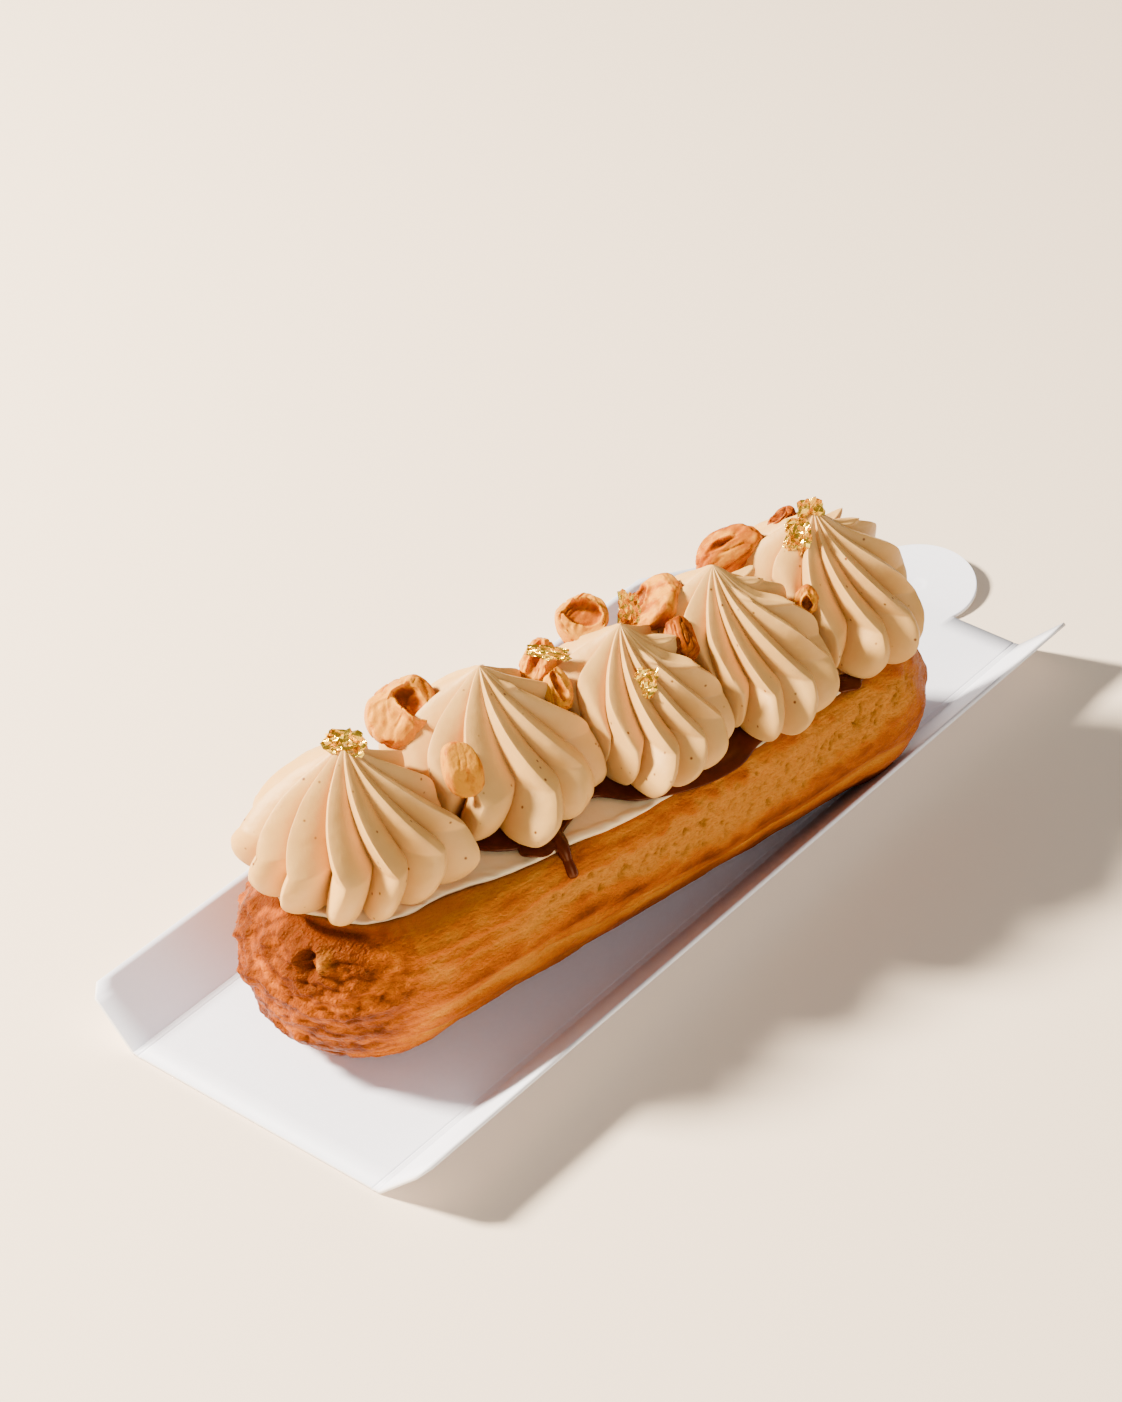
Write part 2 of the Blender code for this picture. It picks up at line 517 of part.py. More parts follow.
def tray_sheet():
    """Upper face of the tray before it gets its thickness: base with tab, two creases, two flaps."""
    half_length = TRAY_LENGTH / 2
    half_width = TRAY_BASE_WIDTH / 2
    notch = math.sqrt(TAB_RADIUS**2 - TAB_REACH**2)
    start = math.atan2(notch, -TAB_REACH)
    # The tab is cut into strips across, so that it can bend upward
    tab_angles = np.linspace(start, 0.0, TAB_STRIPS + 1)
    tab_x = half_length + TAB_REACH + TAB_RADIUS * np.cos(tab_angles)
    tab_y = TAB_RADIUS * np.sin(tab_angles)
    reach = tab_x[-1] - half_length
    tab_z = CARD_THICKNESS + TAB_LIFT * (np.maximum(tab_x - half_length, 0.0) / reach) ** 1.5
    vertices = []
    faces = []

    def corner(x, y, z=CARD_THICKNESS):
        vertices.append((x, y, z))
        return len(vertices) - 1

    near_right, near_left = corner(-half_length, -half_width), corner(-half_length, half_width)
    far_right, far_left = corner(half_length, -half_width), corner(half_length, half_width)
    right = [corner(x, -y, z) for x, y, z in zip(tab_x[:-1], tab_y[:-1], tab_z[:-1])]
    left = [corner(x, y, z) for x, y, z in zip(tab_x[:-1], tab_y[:-1], tab_z[:-1])]
    end = corner(tab_x[-1], 0.0, tab_z[-1])
    faces.append((near_right, far_right, right[0], left[0], far_left, near_left))
    for strip in range(len(right) - 1):
        faces.append((right[strip], right[strip + 1], left[strip + 1], left[strip]))
    faces.append((right[-1], end, left[-1]))
    flap_out = FLAP_WIDTH * math.cos(FLAP_ANGLE)
    flap_up = FLAP_WIDTH * math.sin(FLAP_ANGLE)
    for side, near, far in ((-1, near_right, far_right), (1, near_left, far_left)):
        clip_share = 1.0 - FLAP_CLIP / FLAP_WIDTH
        low_near = corner(-half_length, side * (half_width + flap_out * clip_share),
                          CARD_THICKNESS + flap_up * clip_share)
        top_near = corner(-half_length + FLAP_CLIP, side * (half_width + flap_out), CARD_THICKNESS + flap_up)
        slant = FLAP_SLANT if side > 0 else 0.0
        top_far = corner(half_length - slant, side * (half_width + flap_out), CARD_THICKNESS + flap_up)
        loop = (near, low_near, top_near, top_far, far)
        faces.append(loop if side < 0 else tuple(reversed(loop)))
    return vertices, faces


def card_tray():
    """White card: the folded sheet, thickened downward, lying askew under the eclair."""
    card = food_material("white_card", (0.86, 0.86, 0.88), 0.6)
    vertices, faces = tray_sheet()
    tray = add_piece("card_tray", vertices, faces, card)
    tray.data.shade_flat()
    thickness = tray.modifiers.new("card_thickness", "SOLIDIFY")
    thickness.thickness = CARD_THICKNESS
    # This mode keeps every face at its exact distance, so that the underside is one flat plane
    thickness.solidify_mode = "NON_MANIFOLD"
    thickness.nonmanifold_thickness_mode = "CONSTRAINTS"
    thickness.offset = -1.0
    tray.location = (TRAY_CENTRE[0], TRAY_CENTRE[1], 0.0)
    tray.rotation_euler = (0.0, 0.0, TRAY_TURN)


def main():
    clear_scene()
    card_tray()
    choux_bun()
    cream_filling()
    praline_layer()
    cream = food_material("rosette_cream", (0.66, 0.52, 0.36), 0.45)
    rosettes = [rosette(index, cream) for index in range(len(ROSETTE_CENTRES))]
    hazelnuts(rosettes)
    gold_flakes(rosettes)


main()
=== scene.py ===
"""Hazelnut praline eclair with piped rosettes and gold leaf, in its folded card tray.

Metres throughout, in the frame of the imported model: +X along the eclair, +Z up.
"""
import math

import bpy
import numpy as np
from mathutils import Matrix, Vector


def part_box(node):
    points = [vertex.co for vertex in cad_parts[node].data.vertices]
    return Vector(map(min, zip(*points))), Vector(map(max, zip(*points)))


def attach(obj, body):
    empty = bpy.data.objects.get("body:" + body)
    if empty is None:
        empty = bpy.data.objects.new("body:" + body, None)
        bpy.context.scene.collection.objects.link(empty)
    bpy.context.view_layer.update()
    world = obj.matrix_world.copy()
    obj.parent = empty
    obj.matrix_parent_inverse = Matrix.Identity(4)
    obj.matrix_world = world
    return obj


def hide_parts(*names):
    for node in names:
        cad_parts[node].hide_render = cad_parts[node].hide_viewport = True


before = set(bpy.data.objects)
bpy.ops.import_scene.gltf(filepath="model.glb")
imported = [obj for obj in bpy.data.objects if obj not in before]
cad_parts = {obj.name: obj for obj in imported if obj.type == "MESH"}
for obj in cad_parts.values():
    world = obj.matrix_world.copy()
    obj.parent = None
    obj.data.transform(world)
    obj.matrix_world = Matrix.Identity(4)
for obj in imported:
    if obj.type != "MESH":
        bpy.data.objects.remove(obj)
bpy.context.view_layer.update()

# The view: a camera above the near right of the eclair, looking down along it with a long lens.
# Its place and its focal length follow from the tray's corners in the photograph.
CAMERA_PLACE = (-0.3281, -0.3532, 0.3955)
CAMERA_YAW = math.radians(47.75)
CAMERA_DOWN = math.radians(36.53)
LENS_MM = 95.79
SENSOR_HEIGHT_MM = 36.0

view = bpy.data.cameras.new("photo_view")
view.sensor_fit = "VERTICAL"
view.sensor_height = SENSOR_HEIGHT_MM
view.lens = LENS_MM
view.clip_start = 0.01
camera = bpy.data.objects.new("photo_camera", view)
camera.location = CAMERA_PLACE
camera.rotation_euler = (math.pi / 2 - CAMERA_DOWN, 0.0, CAMERA_YAW - math.pi / 2)
bpy.context.scene.collection.objects.link(camera)
bpy.context.scene.camera = camera

# The studio: a matt table in a pale warm beige, a warm key light from the back left that throws soft
# shadows to the front right, and a pale dome and a broad front panel that fill them.
FLOOR_SIZE = 6.0
FLOOR_COLOUR = (0.91, 0.75, 0.57)
DOME_STRENGTH = 0.33
KEY_POWER = 72.0
FILL_POWER = 7.5


def area_light(name, place, target, size, power, colour):
    """A square lamp of the given size at a place, turned towards a target."""
    lamp = bpy.data.lights.new(name, "AREA")
    lamp.size = size
    lamp.energy = power
    lamp.color = colour
    holder = bpy.data.objects.new(name, lamp)
    holder.location = place
    holder.rotation_euler = (Vector(target) - Vector(place)).to_track_quat("-Z", "Y").to_euler()
    bpy.context.scene.collection.objects.link(holder)


def principled(name, roughness):
    """A new material and its Principled shader, with one roughness."""
    material = bpy.data.materials.new(name)
    material.use_nodes = True
    shader = material.node_tree.nodes["Principled BSDF"]
    shader.inputs["Roughness"].default_value = roughness
    return material, shader


half = FLOOR_SIZE / 2
floor_mesh = bpy.data.meshes.new("table_top")
floor_mesh.from_pydata([(-half, -half, 0.0), (half, -half, 0.0), (half, half, 0.0), (-half, half, 0.0)],
                       [], [(0, 1, 2, 3)])
floor = bpy.data.objects.new("table_top", floor_mesh)
bpy.context.scene.collection.objects.link(floor)
matt, matt_shader = principled("matt_table", 0.85)
matt_shader.inputs["Base Color"].default_value = (*FLOOR_COLOUR, 1.0)
matt_shader.inputs["Specular IOR Level"].default_value = 0.2
floor_mesh.materials.append(matt)

world = bpy.data.worlds.new("pale_dome")
bpy.context.scene.world = world
world.use_nodes = True
world.node_tree.nodes["Background"].inputs["Color"].default_value = (0.98, 0.95, 0.94, 1.0)
world.node_tree.nodes["Background"].inputs["Strength"].default_value = DOME_STRENGTH
area_light("warm_key", (-0.55, 0.62, 0.62), (0.0, 0.0, 0.02), 0.16, KEY_POWER, (1.0, 0.91, 0.79))
area_light("front_fill", (-0.36, -0.95, 0.34), (0.0, 0.0, 0.03), 0.8, FILL_POWER, (0.96, 0.96, 1.0))

# The card tray: one strip of white card, die cut and scored twice along each fold. Both long edges
# are folded up, and a round lifting tab with a pressed dimple is left on the far end.
CARD_THICKNESS = 0.00075
TRAY_LENGTH = 0.1796
TRAY_HALF_WIDTH = 0.0252
TRAY_CENTRE = (0.0105, 0.0079)
TRAY_TURN = math.radians(9.7)
FLAP_WIDTH = 0.0124
FLAP_ANGLE = math.radians(45.0)
FLAP_CLIP = 0.002
FLAP_SLANT = 0.0360
TAB_RADIUS = 0.0115
TAB_REACH = 0.0038
TAB_LIFT = 0.002
FOLD_HALF_WIDTH = 0.0006
SCORE_PLACES = (-0.0010, 0.0001)
SCORE_WIDTH = 0.00013
SCORE_DEPTH = 0.00011
DIMPLE_RADIUS = 0.0019
DIMPLE_DEPTH = 0.00014
DIMPLE_WALL = 0.0004
DIMPLE_SHIFT = 0.0004
TRAY_ROWS = 40
TAB_ROWS = 44
TAB_END_TURN = 0.03
# Columns of the sheet, counted for each band, and where the close ones at a fold begin and end
MIDDLE_COLUMNS = 61
SIDE_COLUMNS = 16
FOLD_COLUMNS = 26
FLAP_COLUMNS = 8
FOLD_BAND = (-0.0015, 0.0009)
BAND_GAPS = (0.0001, 0.0003)


def step_up(x, low, high):
    """0 below low, 1 above high, and a smooth rise between them."""
    share = np.clip((x - low) / (high - low), 0.0, 1.0)
    return share * share * (3.0 - 2.0 * share)
def bell(x, width, place=0.0):
    """A smooth hill along x, 1 at its place and near 0 from two widths off: exp of minus a square."""
    return np.exp(-((x - place) / width) ** 2)


def xyz(x, y, z):
    """Points from their three coordinates, each spread over the grid that all three span."""
    return np.stack(np.broadcast_arrays(x, y, z), axis=-1)


def folded(across):
    """Place across and height of card that lies this far from the middle line before it is folded.

    The card's slope rises evenly from flat to the flap's angle over the width of the fold.
    """
    fine = np.linspace(0.0, TRAY_HALF_WIDTH + FLAP_WIDTH, 4000)
    slope = FLAP_ANGLE * np.clip((fine - TRAY_HALF_WIDTH) / (2 * FOLD_HALF_WIDTH) + 0.5, 0.0, 1.0)
    step = fine[1] - fine[0]
    out = np.concatenate([[0.0], np.cumsum(np.cos(slope[:-1])) * step])
    up = np.concatenate([[0.0], np.cumsum(np.sin(slope[:-1])) * step])
    return np.interp(np.abs(across), fine, out) * np.sign(across), np.interp(np.abs(across), fine, up)


def scored(across):
    """How deep the two score lines along each fold are pressed: a narrow valley at each place."""
    return SCORE_DEPTH * sum(bell(np.abs(across) - TRAY_HALF_WIDTH, SCORE_WIDTH, place)
                             for place in SCORE_PLACES)


def grid_faces(rings, around, closed=True):
    """Quads of a grid of rings, closed round each ring or open, as an array of corner numbers."""
    steps = around if closed else around - 1
    ring, step = np.meshgrid(np.arange(rings - 1), np.arange(steps), indexing="ij")
    low = ring * around
    high = low + around
    after = (step + 1) % around
    return np.stack([low + step, low + after, high + after, high + step], axis=-1).reshape(-1, 4)


def make_piece(name, vertices, quads, material, caps=(), masks=None, smooth=True):
    """A mesh object from arrays; caps are faces with other numbers of corners."""
    faces = [tuple(quad) for quad in np.asarray(quads).tolist()] + [tuple(cap) for cap in caps]
    mesh = bpy.data.meshes.new(name)
    mesh.from_pydata(np.asarray(vertices, dtype=float).tolist(), [], faces)
    for mask, values in (masks or {}).items():
        attribute = mesh.attributes.new(mask, "FLOAT", "POINT")
        attribute.data.foreach_set("value", np.asarray(values, dtype=np.float32))
    if smooth:
        mesh.shade_smooth()
    mesh.materials.append(material)
    piece = bpy.data.objects.new(name, mesh)
    bpy.context.scene.collection.objects.link(piece)
    return piece


def dress(piece, slot, *nodes):
    """Fixes a piece to the part and hides the model's nodes that it stands for. The slot is not used."""
    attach(piece, "root")
    if nodes:
        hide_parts(*nodes)



def add_node(tree, kind, **settings):
    """A node with settings: inputs by their name, properties by theirs."""
    node = tree.nodes.new(kind)
    for key, value in settings.items():
        if key in node.inputs:
            node.inputs[key].default_value = value
        else:
            setattr(node, key, value)
    return node


# How many times finer the fine grain is than the coarse
FINE_GRAIN = 4.0


def grain_group():
    """Shared effect: coarse noise and finer noise, on the object's own coordinates."""
    group = bpy.data.node_groups.new("surface_grain", "ShaderNodeTree")
    for name, way, kind in (("Scale", "INPUT", "Float"), ("Stretch", "INPUT", "Vector"),
                            ("Coarse", "OUTPUT", "Float"), ("Fine", "OUTPUT", "Float")):
        group.interface.new_socket(name, in_out=way, socket_type="NodeSocket" + kind)
    given = add_node(group, "NodeGroupInput")
    result = add_node(group, "NodeGroupOutput")
    place = add_node(group, "ShaderNodeTexCoord")
    mapping = add_node(group, "ShaderNodeMapping")
    finer = add_node(group, "ShaderNodeMath", operation="MULTIPLY")
    finer.inputs[1].default_value = FINE_GRAIN
    group.links.new(place.outputs["Object"], mapping.inputs["Vector"])
    group.links.new(given.outputs["Stretch"], mapping.inputs["Scale"])
    group.links.new(given.outputs["Scale"], finer.inputs[0])
    for output, scale in (("Coarse", given.outputs["Scale"]), ("Fine", finer.outputs[0])):
        pattern = add_node(group, "ShaderNodeTexNoise", Detail=4.0, Roughness=0.55)
        group.links.new(mapping.outputs["Vector"], pattern.inputs["Vector"])
        group.links.new(scale, pattern.inputs["Scale"])
        group.links.new(pattern.outputs["Fac"], result.inputs[output])
    return group


surface_grain = grain_group()


def grain(material, scale, stretch=(1.0, 1.0, 1.0)):
    """Coarse and fine grain; scale counts the coarse features for each metre."""
    node = add_node(material.node_tree, "ShaderNodeGroup", node_tree=surface_grain)
    node.inputs["Scale"].default_value = scale
    node.inputs["Stretch"].default_value = stretch
    return node.outputs["Coarse"], node.outputs["Fine"]


def ramp(material, value, stops):
    """A colour ramp: stops are (position, colour)."""
    node = add_node(material.node_tree, "ShaderNodeValToRGB")
    node.color_ramp.elements[0].position = stops[0][0]
    node.color_ramp.elements[0].color = (*stops[0][1], 1.0)
    node.color_ramp.elements[1].position = stops[-1][0]
    node.color_ramp.elements[1].color = (*stops[-1][1], 1.0)
    for position, colour in stops[1:-1]:
        node.color_ramp.elements.new(position).color = (*colour, 1.0)
    material.node_tree.links.new(value, node.inputs["Fac"])
    return node.outputs["Color"]


def weighted_sum(material, terms, offset=0.0):
    """Adds values up, each with its own factor."""
    total = None
    for value, factor in terms:
        node = add_node(material.node_tree, "ShaderNodeMath", operation="MULTIPLY_ADD")
        material.node_tree.links.new(value, node.inputs[0])
        node.inputs[1].default_value = factor
        if total is None:
            node.inputs[2].default_value = offset
        else:
            material.node_tree.links.new(total, node.inputs[2])
        total = node.outputs[0]
    return total


def finish_shader(material, shader, colour, height, distance, strength, specular=0.5, tint=(1.0, 1.0, 1.0)):
    """Gives a shader its colour, the share and tint of its reflection, and a bump in metres."""
    bump = add_node(material.node_tree, "ShaderNodeBump", Strength=strength, Distance=distance)
    shader.inputs["Specular IOR Level"].default_value = specular
    shader.inputs["Specular Tint"].default_value = (*tint, 1.0)
    for output, target in ((colour, shader.inputs["Base Color"]), (height, bump.inputs["Height"]),
                           (bump.outputs["Normal"], shader.inputs["Normal"])):
        material.node_tree.links.new(output, target)


def tray_sheet():
    """Upper face of the card: columns across the folds, rows along them, and the tab's own rows.

    Each column runs from the near end to its own far end, so that the left flap ends in a slant. The
    tab's rows are chords of its circle, with the middle columns drawn in to their width.
    """
    edge = TRAY_HALF_WIDTH + FLAP_WIDTH
    end = TRAY_LENGTH / 2
    notch = math.sqrt(TAB_RADIUS**2 - TAB_REACH**2)
    middle = np.linspace(-notch, notch, MIDDLE_COLUMNS)
    fold_start = TRAY_HALF_WIDTH + FOLD_BAND[0]
    fold_end = TRAY_HALF_WIDTH + FOLD_BAND[1]
    side = np.linspace(notch, fold_start - BAND_GAPS[0], SIDE_COLUMNS)[1:]
    fold = np.linspace(fold_start, fold_end, FOLD_COLUMNS)
    flap = np.linspace(fold_end + BAND_GAPS[1], edge - FLAP_CLIP, FLAP_COLUMNS)
    outer = np.concatenate([side, fold, flap, [edge - FLAP_CLIP / 2, edge]])
    across = np.concatenate([-outer[::-1], middle, outer])
    near = -end + np.maximum(np.abs(across) - (edge - FLAP_CLIP), 0.0)
    far = end - FLAP_SLANT * np.clip((across - TRAY_HALF_WIDTH) / FLAP_WIDTH, 0.0, 1.0)
    share = np.linspace(0.0, 1.0, TRAY_ROWS)[:, None]
    out, up = folded(across)
    top = xyz(near + (far - near) * share, out, CARD_THICKNESS + up - scored(across))
    turn = np.linspace(math.atan2(notch, -TAB_REACH), TAB_END_TURN, TAB_ROWS)[1:, None]
    tab_along = end + TAB_REACH + TAB_RADIUS * np.cos(turn) + 0.0 * middle
    tab_across = middle / notch * TAB_RADIUS * np.sin(turn)
    lift = TAB_LIFT * ((tab_along - end) / (TAB_REACH + TAB_RADIUS)) ** 1.5
    from_dimple = np.hypot(tab_along - end - TAB_REACH - DIMPLE_SHIFT, tab_across)
    dimple = DIMPLE_DEPTH * (1.0 - step_up(from_dimple, DIMPLE_RADIUS - DIMPLE_WALL, DIMPLE_RADIUS))
    tab = xyz(tab_along, tab_across, CARD_THICKNESS + lift - dimple)
    count = len(across)
    joint = (TRAY_ROWS - 1) * count + len(outer) + np.arange(len(middle))
    tab_numbers = TRAY_ROWS * count + np.arange(tab[..., 0].size).reshape(-1, len(middle))
    rows = np.vstack([joint[None, :], tab_numbers])
    tab_quads = np.stack([rows[:-1, :-1], rows[:-1, 1:], rows[1:, 1:], rows[1:, :-1]], axis=-1)
    quads = np.vstack([grid_faces(TRAY_ROWS, count, closed=False), tab_quads.reshape(-1, 4)])
    along, aside, height = np.vstack([top.reshape(-1, 3), tab.reshape(-1, 3)]).T
    cos = math.cos(TRAY_TURN)
    sin = math.sin(TRAY_TURN)
    return xyz(TRAY_CENTRE[0] + along * cos - aside * sin,
               TRAY_CENTRE[1] + along * sin + aside * cos, height), quads[:, ::-1]


def card_material(name, pale, shade):
    """Coated card: faint fibres under a dull sheen."""
    material, shader = principled(name, 0.46)
    coarse, fine = grain(material, 900.0)
    colour = ramp(material, coarse, ((0.3, shade), (0.7, pale)))
    finish_shader(material, shader, colour, fine, 0.00002, 0.5)
    return material


sheet_points, sheet_quads = tray_sheet()
tray = make_piece("folded_card_tray", sheet_points, sheet_quads,
                  card_material("white_card", (0.89, 0.90, 0.98), (0.87, 0.88, 0.96)))
tray.data.materials.append(card_material("cut_card_edge", (0.92, 0.89, 0.88), (0.88, 0.85, 0.84)))
thickness = tray.modifiers.new("card_thickness", "SOLIDIFY")
thickness.thickness = CARD_THICKNESS - SCORE_DEPTH
thickness.offset = -1.0
thickness.material_offset_rim = 1
tray.data.set_sharp_from_angle(angle=math.radians(40.0))
dress(tray, "white_card", "card_tray")

# The choux bun: piped through a ridged nozzle and baked golden brown, then cut open and hollowed.
# Its ridges brown first, the split between them stays pale and porous, and its near end is crusty.
GAP = 0.0003
BUN_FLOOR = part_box("choux_bun")[0].z
BUN_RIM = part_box("choux_bun")[1].z
SPINE_NEAR = -0.0450
SPINE_FAR = 0.0462
SIDE_PROFILE = (
    (0.0080, BUN_FLOOR), (0.0108, 0.0022), (0.0142, 0.0050), (0.0173, 0.0088), (0.0198, 0.0130),
    (0.0209, 0.0180), (0.0204, 0.0222), (0.0192, 0.0258), (0.0178, 0.0280), (0.0166, BUN_RIM),
)
END_PROFILE = (
    (0.0110, BUN_FLOOR), (0.0160, 0.0026), (0.0200, 0.0060), (0.0222, 0.0100), (0.0233, 0.0140),
    (0.0234, 0.0180), (0.0226, 0.0220), (0.0210, 0.0256), (0.0192, 0.0278), (0.0172, BUN_RIM),
)
TROUGH_PROFILE = (
    (0.0160, 0.0285), (0.0154, 0.0283), (0.0148, 0.0266), (0.0142, 0.0240), (0.0125, 0.0222),
    (0.0105, 0.0218),
)
BUN_RINGS = 132
BUN_SIDE_STEPS = 210
BUN_END_STEPS = 120
RIM_BULGE = (0.0016, 0.0140, 0.022)
RIM_NOTCH = (-0.0040, -0.0460, 0.013)
# Heights of the crust's stripes along X on the right side, and half the width of the pale split
SPLIT_HEIGHT = (
    (-0.060, 0.0222), (-0.040, 0.0226), (-0.017, 0.0233), (-0.004, 0.0226), (0.010, 0.0222),
    (0.022, 0.0226), (0.034, 0.0240), (0.060, 0.0246),
)
SPLIT_HALF_WIDTH = (
    (-0.060, 0.0002), (-0.038, 0.0006), (-0.017, 0.0017), (-0.005, 0.0026), (0.005, 0.0042),
    (0.020, 0.0044), (0.036, 0.0042), (0.050, 0.0034), (0.060, 0.0010),
)
RIDGE_HEIGHT = (
    (-0.060, 0.0189), (-0.020, 0.0187), (-0.006, 0.0172), (0.006, 0.0156), (0.020, 0.0153),
    (0.036, 0.0166), (0.060, 0.0172),
)
SEAM_HEIGHT = (
    (-0.060, 0.0160), (-0.028, 0.0147), (-0.014, 0.0134), (0.005, 0.0122), (0.030, 0.0128),
    (0.060, 0.0138),
)
# The torn pit on the near end and the pale crumb beside it: angle round the end, height and width
PIT = (math.radians(198.0), 0.0246, 0.0017)
CRUMB = (math.radians(204.5), 0.0256, 0.0012)
TORN = (math.radians(201.0), 0.0250, 0.0040)
BURNT_WAY = math.radians(203.0)
END_RADIUS = 0.0232
# Distances from the middle, towards each end, over which the side gives way to the end
NEAR_END = (0.045, 0.060)
CRUSTY_END = (0.049, 0.063)
KNOBBY_END = (0.056, 0.064)
FAR_END = (0.048, 0.060)
FAR_TIP = (0.050, 0.062)
# Height and width of the ridge below the rim; spacing of the back's ridges and of the rings and
# wrinkles round the pit
TOP_RIDGE = (0.0264, 0.0014)
BACK_SPACING = 0.0056
RING_SPACING = 0.0040
WRINKLE_SPACING = 0.00155
# How far each kind of relief stands out, or is sunk
STRIPE_RELIEF = 0.00052
RING_RELIEF = 0.00018
KNOB_RELIEF = 0.0011
SHRED_RELIEF = 0.00080
CRUMB_RELIEF = 0.0014
LIP_RELIEF = 0.0007
CRINKLE_RELIEF = 0.00032
BLISTER_RELIEF = 0.00030
PIT_DEPTH = 0.0021
CREASE_DEPTH = 0.00034
SPLIT_DEPTH = 0.00020
PORE_DEPTH = 0.00060


def smooth_path(points, count):
    """Points evenly spaced along a smooth curve (Catmull-Rom) through the given ones."""
    knots = np.array(points, dtype=float)
    padded = np.vstack([2 * knots[0] - knots[1], knots, 2 * knots[-1] - knots[-2]])
    steps = np.linspace(0.0, 1.0, 24, endpoint=False)[:, None]
    pieces = []
    for a, b, c, d in zip(padded[:-3], padded[1:-2], padded[2:-1], padded[3:]):
        pieces.append(0.5 * (2 * b + (c - a) * steps + (2 * a - 5 * b + 4 * c - d) * steps**2
                             + (3 * b - a - 3 * c + d) * steps**3))
    curve = np.vstack(pieces + [knots[-1:]])
    travelled = np.concatenate([[0.0], np.cumsum(np.linalg.norm(np.diff(curve, axis=0), axis=1))])
    wanted = np.linspace(0.0, travelled[-1], count)
    return np.stack([np.interp(wanted, travelled, column) for column in curve.T], axis=1)


def follow(x, points):
    """A value along x, smooth through the given points."""
    curve = smooth_path(points, 200)
    return np.interp(x, curve[:, 0], curve[:, 1])


def lumps(points, size, seed, waves=7):
    """Unevenness between about -1 and 1: sine waves of one size in seeded directions, added up."""
    rng = np.random.default_rng(seed)
    directions = rng.normal(size=(waves, 3))
    directions /= np.linalg.norm(directions, axis=1, keepdims=True)
    lengths = size * rng.uniform(0.7, 1.4, waves)
    phases = rng.uniform(0.0, math.tau, waves)
    return np.sin(points @ (directions / lengths[:, None]).T * math.tau + phases).mean(axis=-1) * 1.6


def rough(points, size, seed, octaves=3):
    """Finer and finer lumps added up, each octave half the size and 0.55 the height of the last."""
    total = 0.0
    for octave in range(octaves):
        total = total + 0.55**octave * lumps(points, size / 2**octave, seed + octave, 11)
    return total


def hill(x, shape):
    """A smooth hill along x, from its height, its place and its width."""
    height, place, width = shape
    return height * bell(x, width, place)


def rim_shift(x, y):
    """How far the cut rim lies outside its usual line, on each side of the bun."""
    front = hill(x, RIM_BULGE) + hill(x, RIM_NOTCH)
    back = 0.0008 * np.sin(x / 0.016 + 1.0)
    share = 1.0 / (1.0 + np.exp(y / 0.0025))
    return front * share + back * (1.0 - share)


def spine_stations(side_steps, end_steps):
    """Spine position and outward angle for each step round a strip with round ends, as rows."""
    along = np.linspace(SPINE_NEAR, SPINE_FAR, side_steps, endpoint=False)
    back = np.linspace(SPINE_FAR, SPINE_NEAR, side_steps, endpoint=False)
    turn = np.linspace(0.0, math.pi, end_steps, endpoint=False)
    spine = np.concatenate([along, np.full(end_steps, SPINE_FAR), back, np.full(end_steps, SPINE_NEAR)])
    angle = np.concatenate([np.full(side_steps, -math.pi / 2), turn - math.pi / 2,
                            np.full(side_steps, math.pi / 2), turn + math.pi / 2])
    return spine[None, :], angle[None, :]


def around_spine(spine, angle, radius, height):
    """Points at a radius from the spine, out along the angle, and at a height."""
    return xyz(spine + radius * np.cos(angle), radius * np.sin(angle), height)


def near_spot(angle, height, spot):
    """How far a point on the near end is from a spot, counted in the spot's widths."""
    place, level, width = spot
    return np.hypot((angle - place) * END_RADIUS, height - level) / width


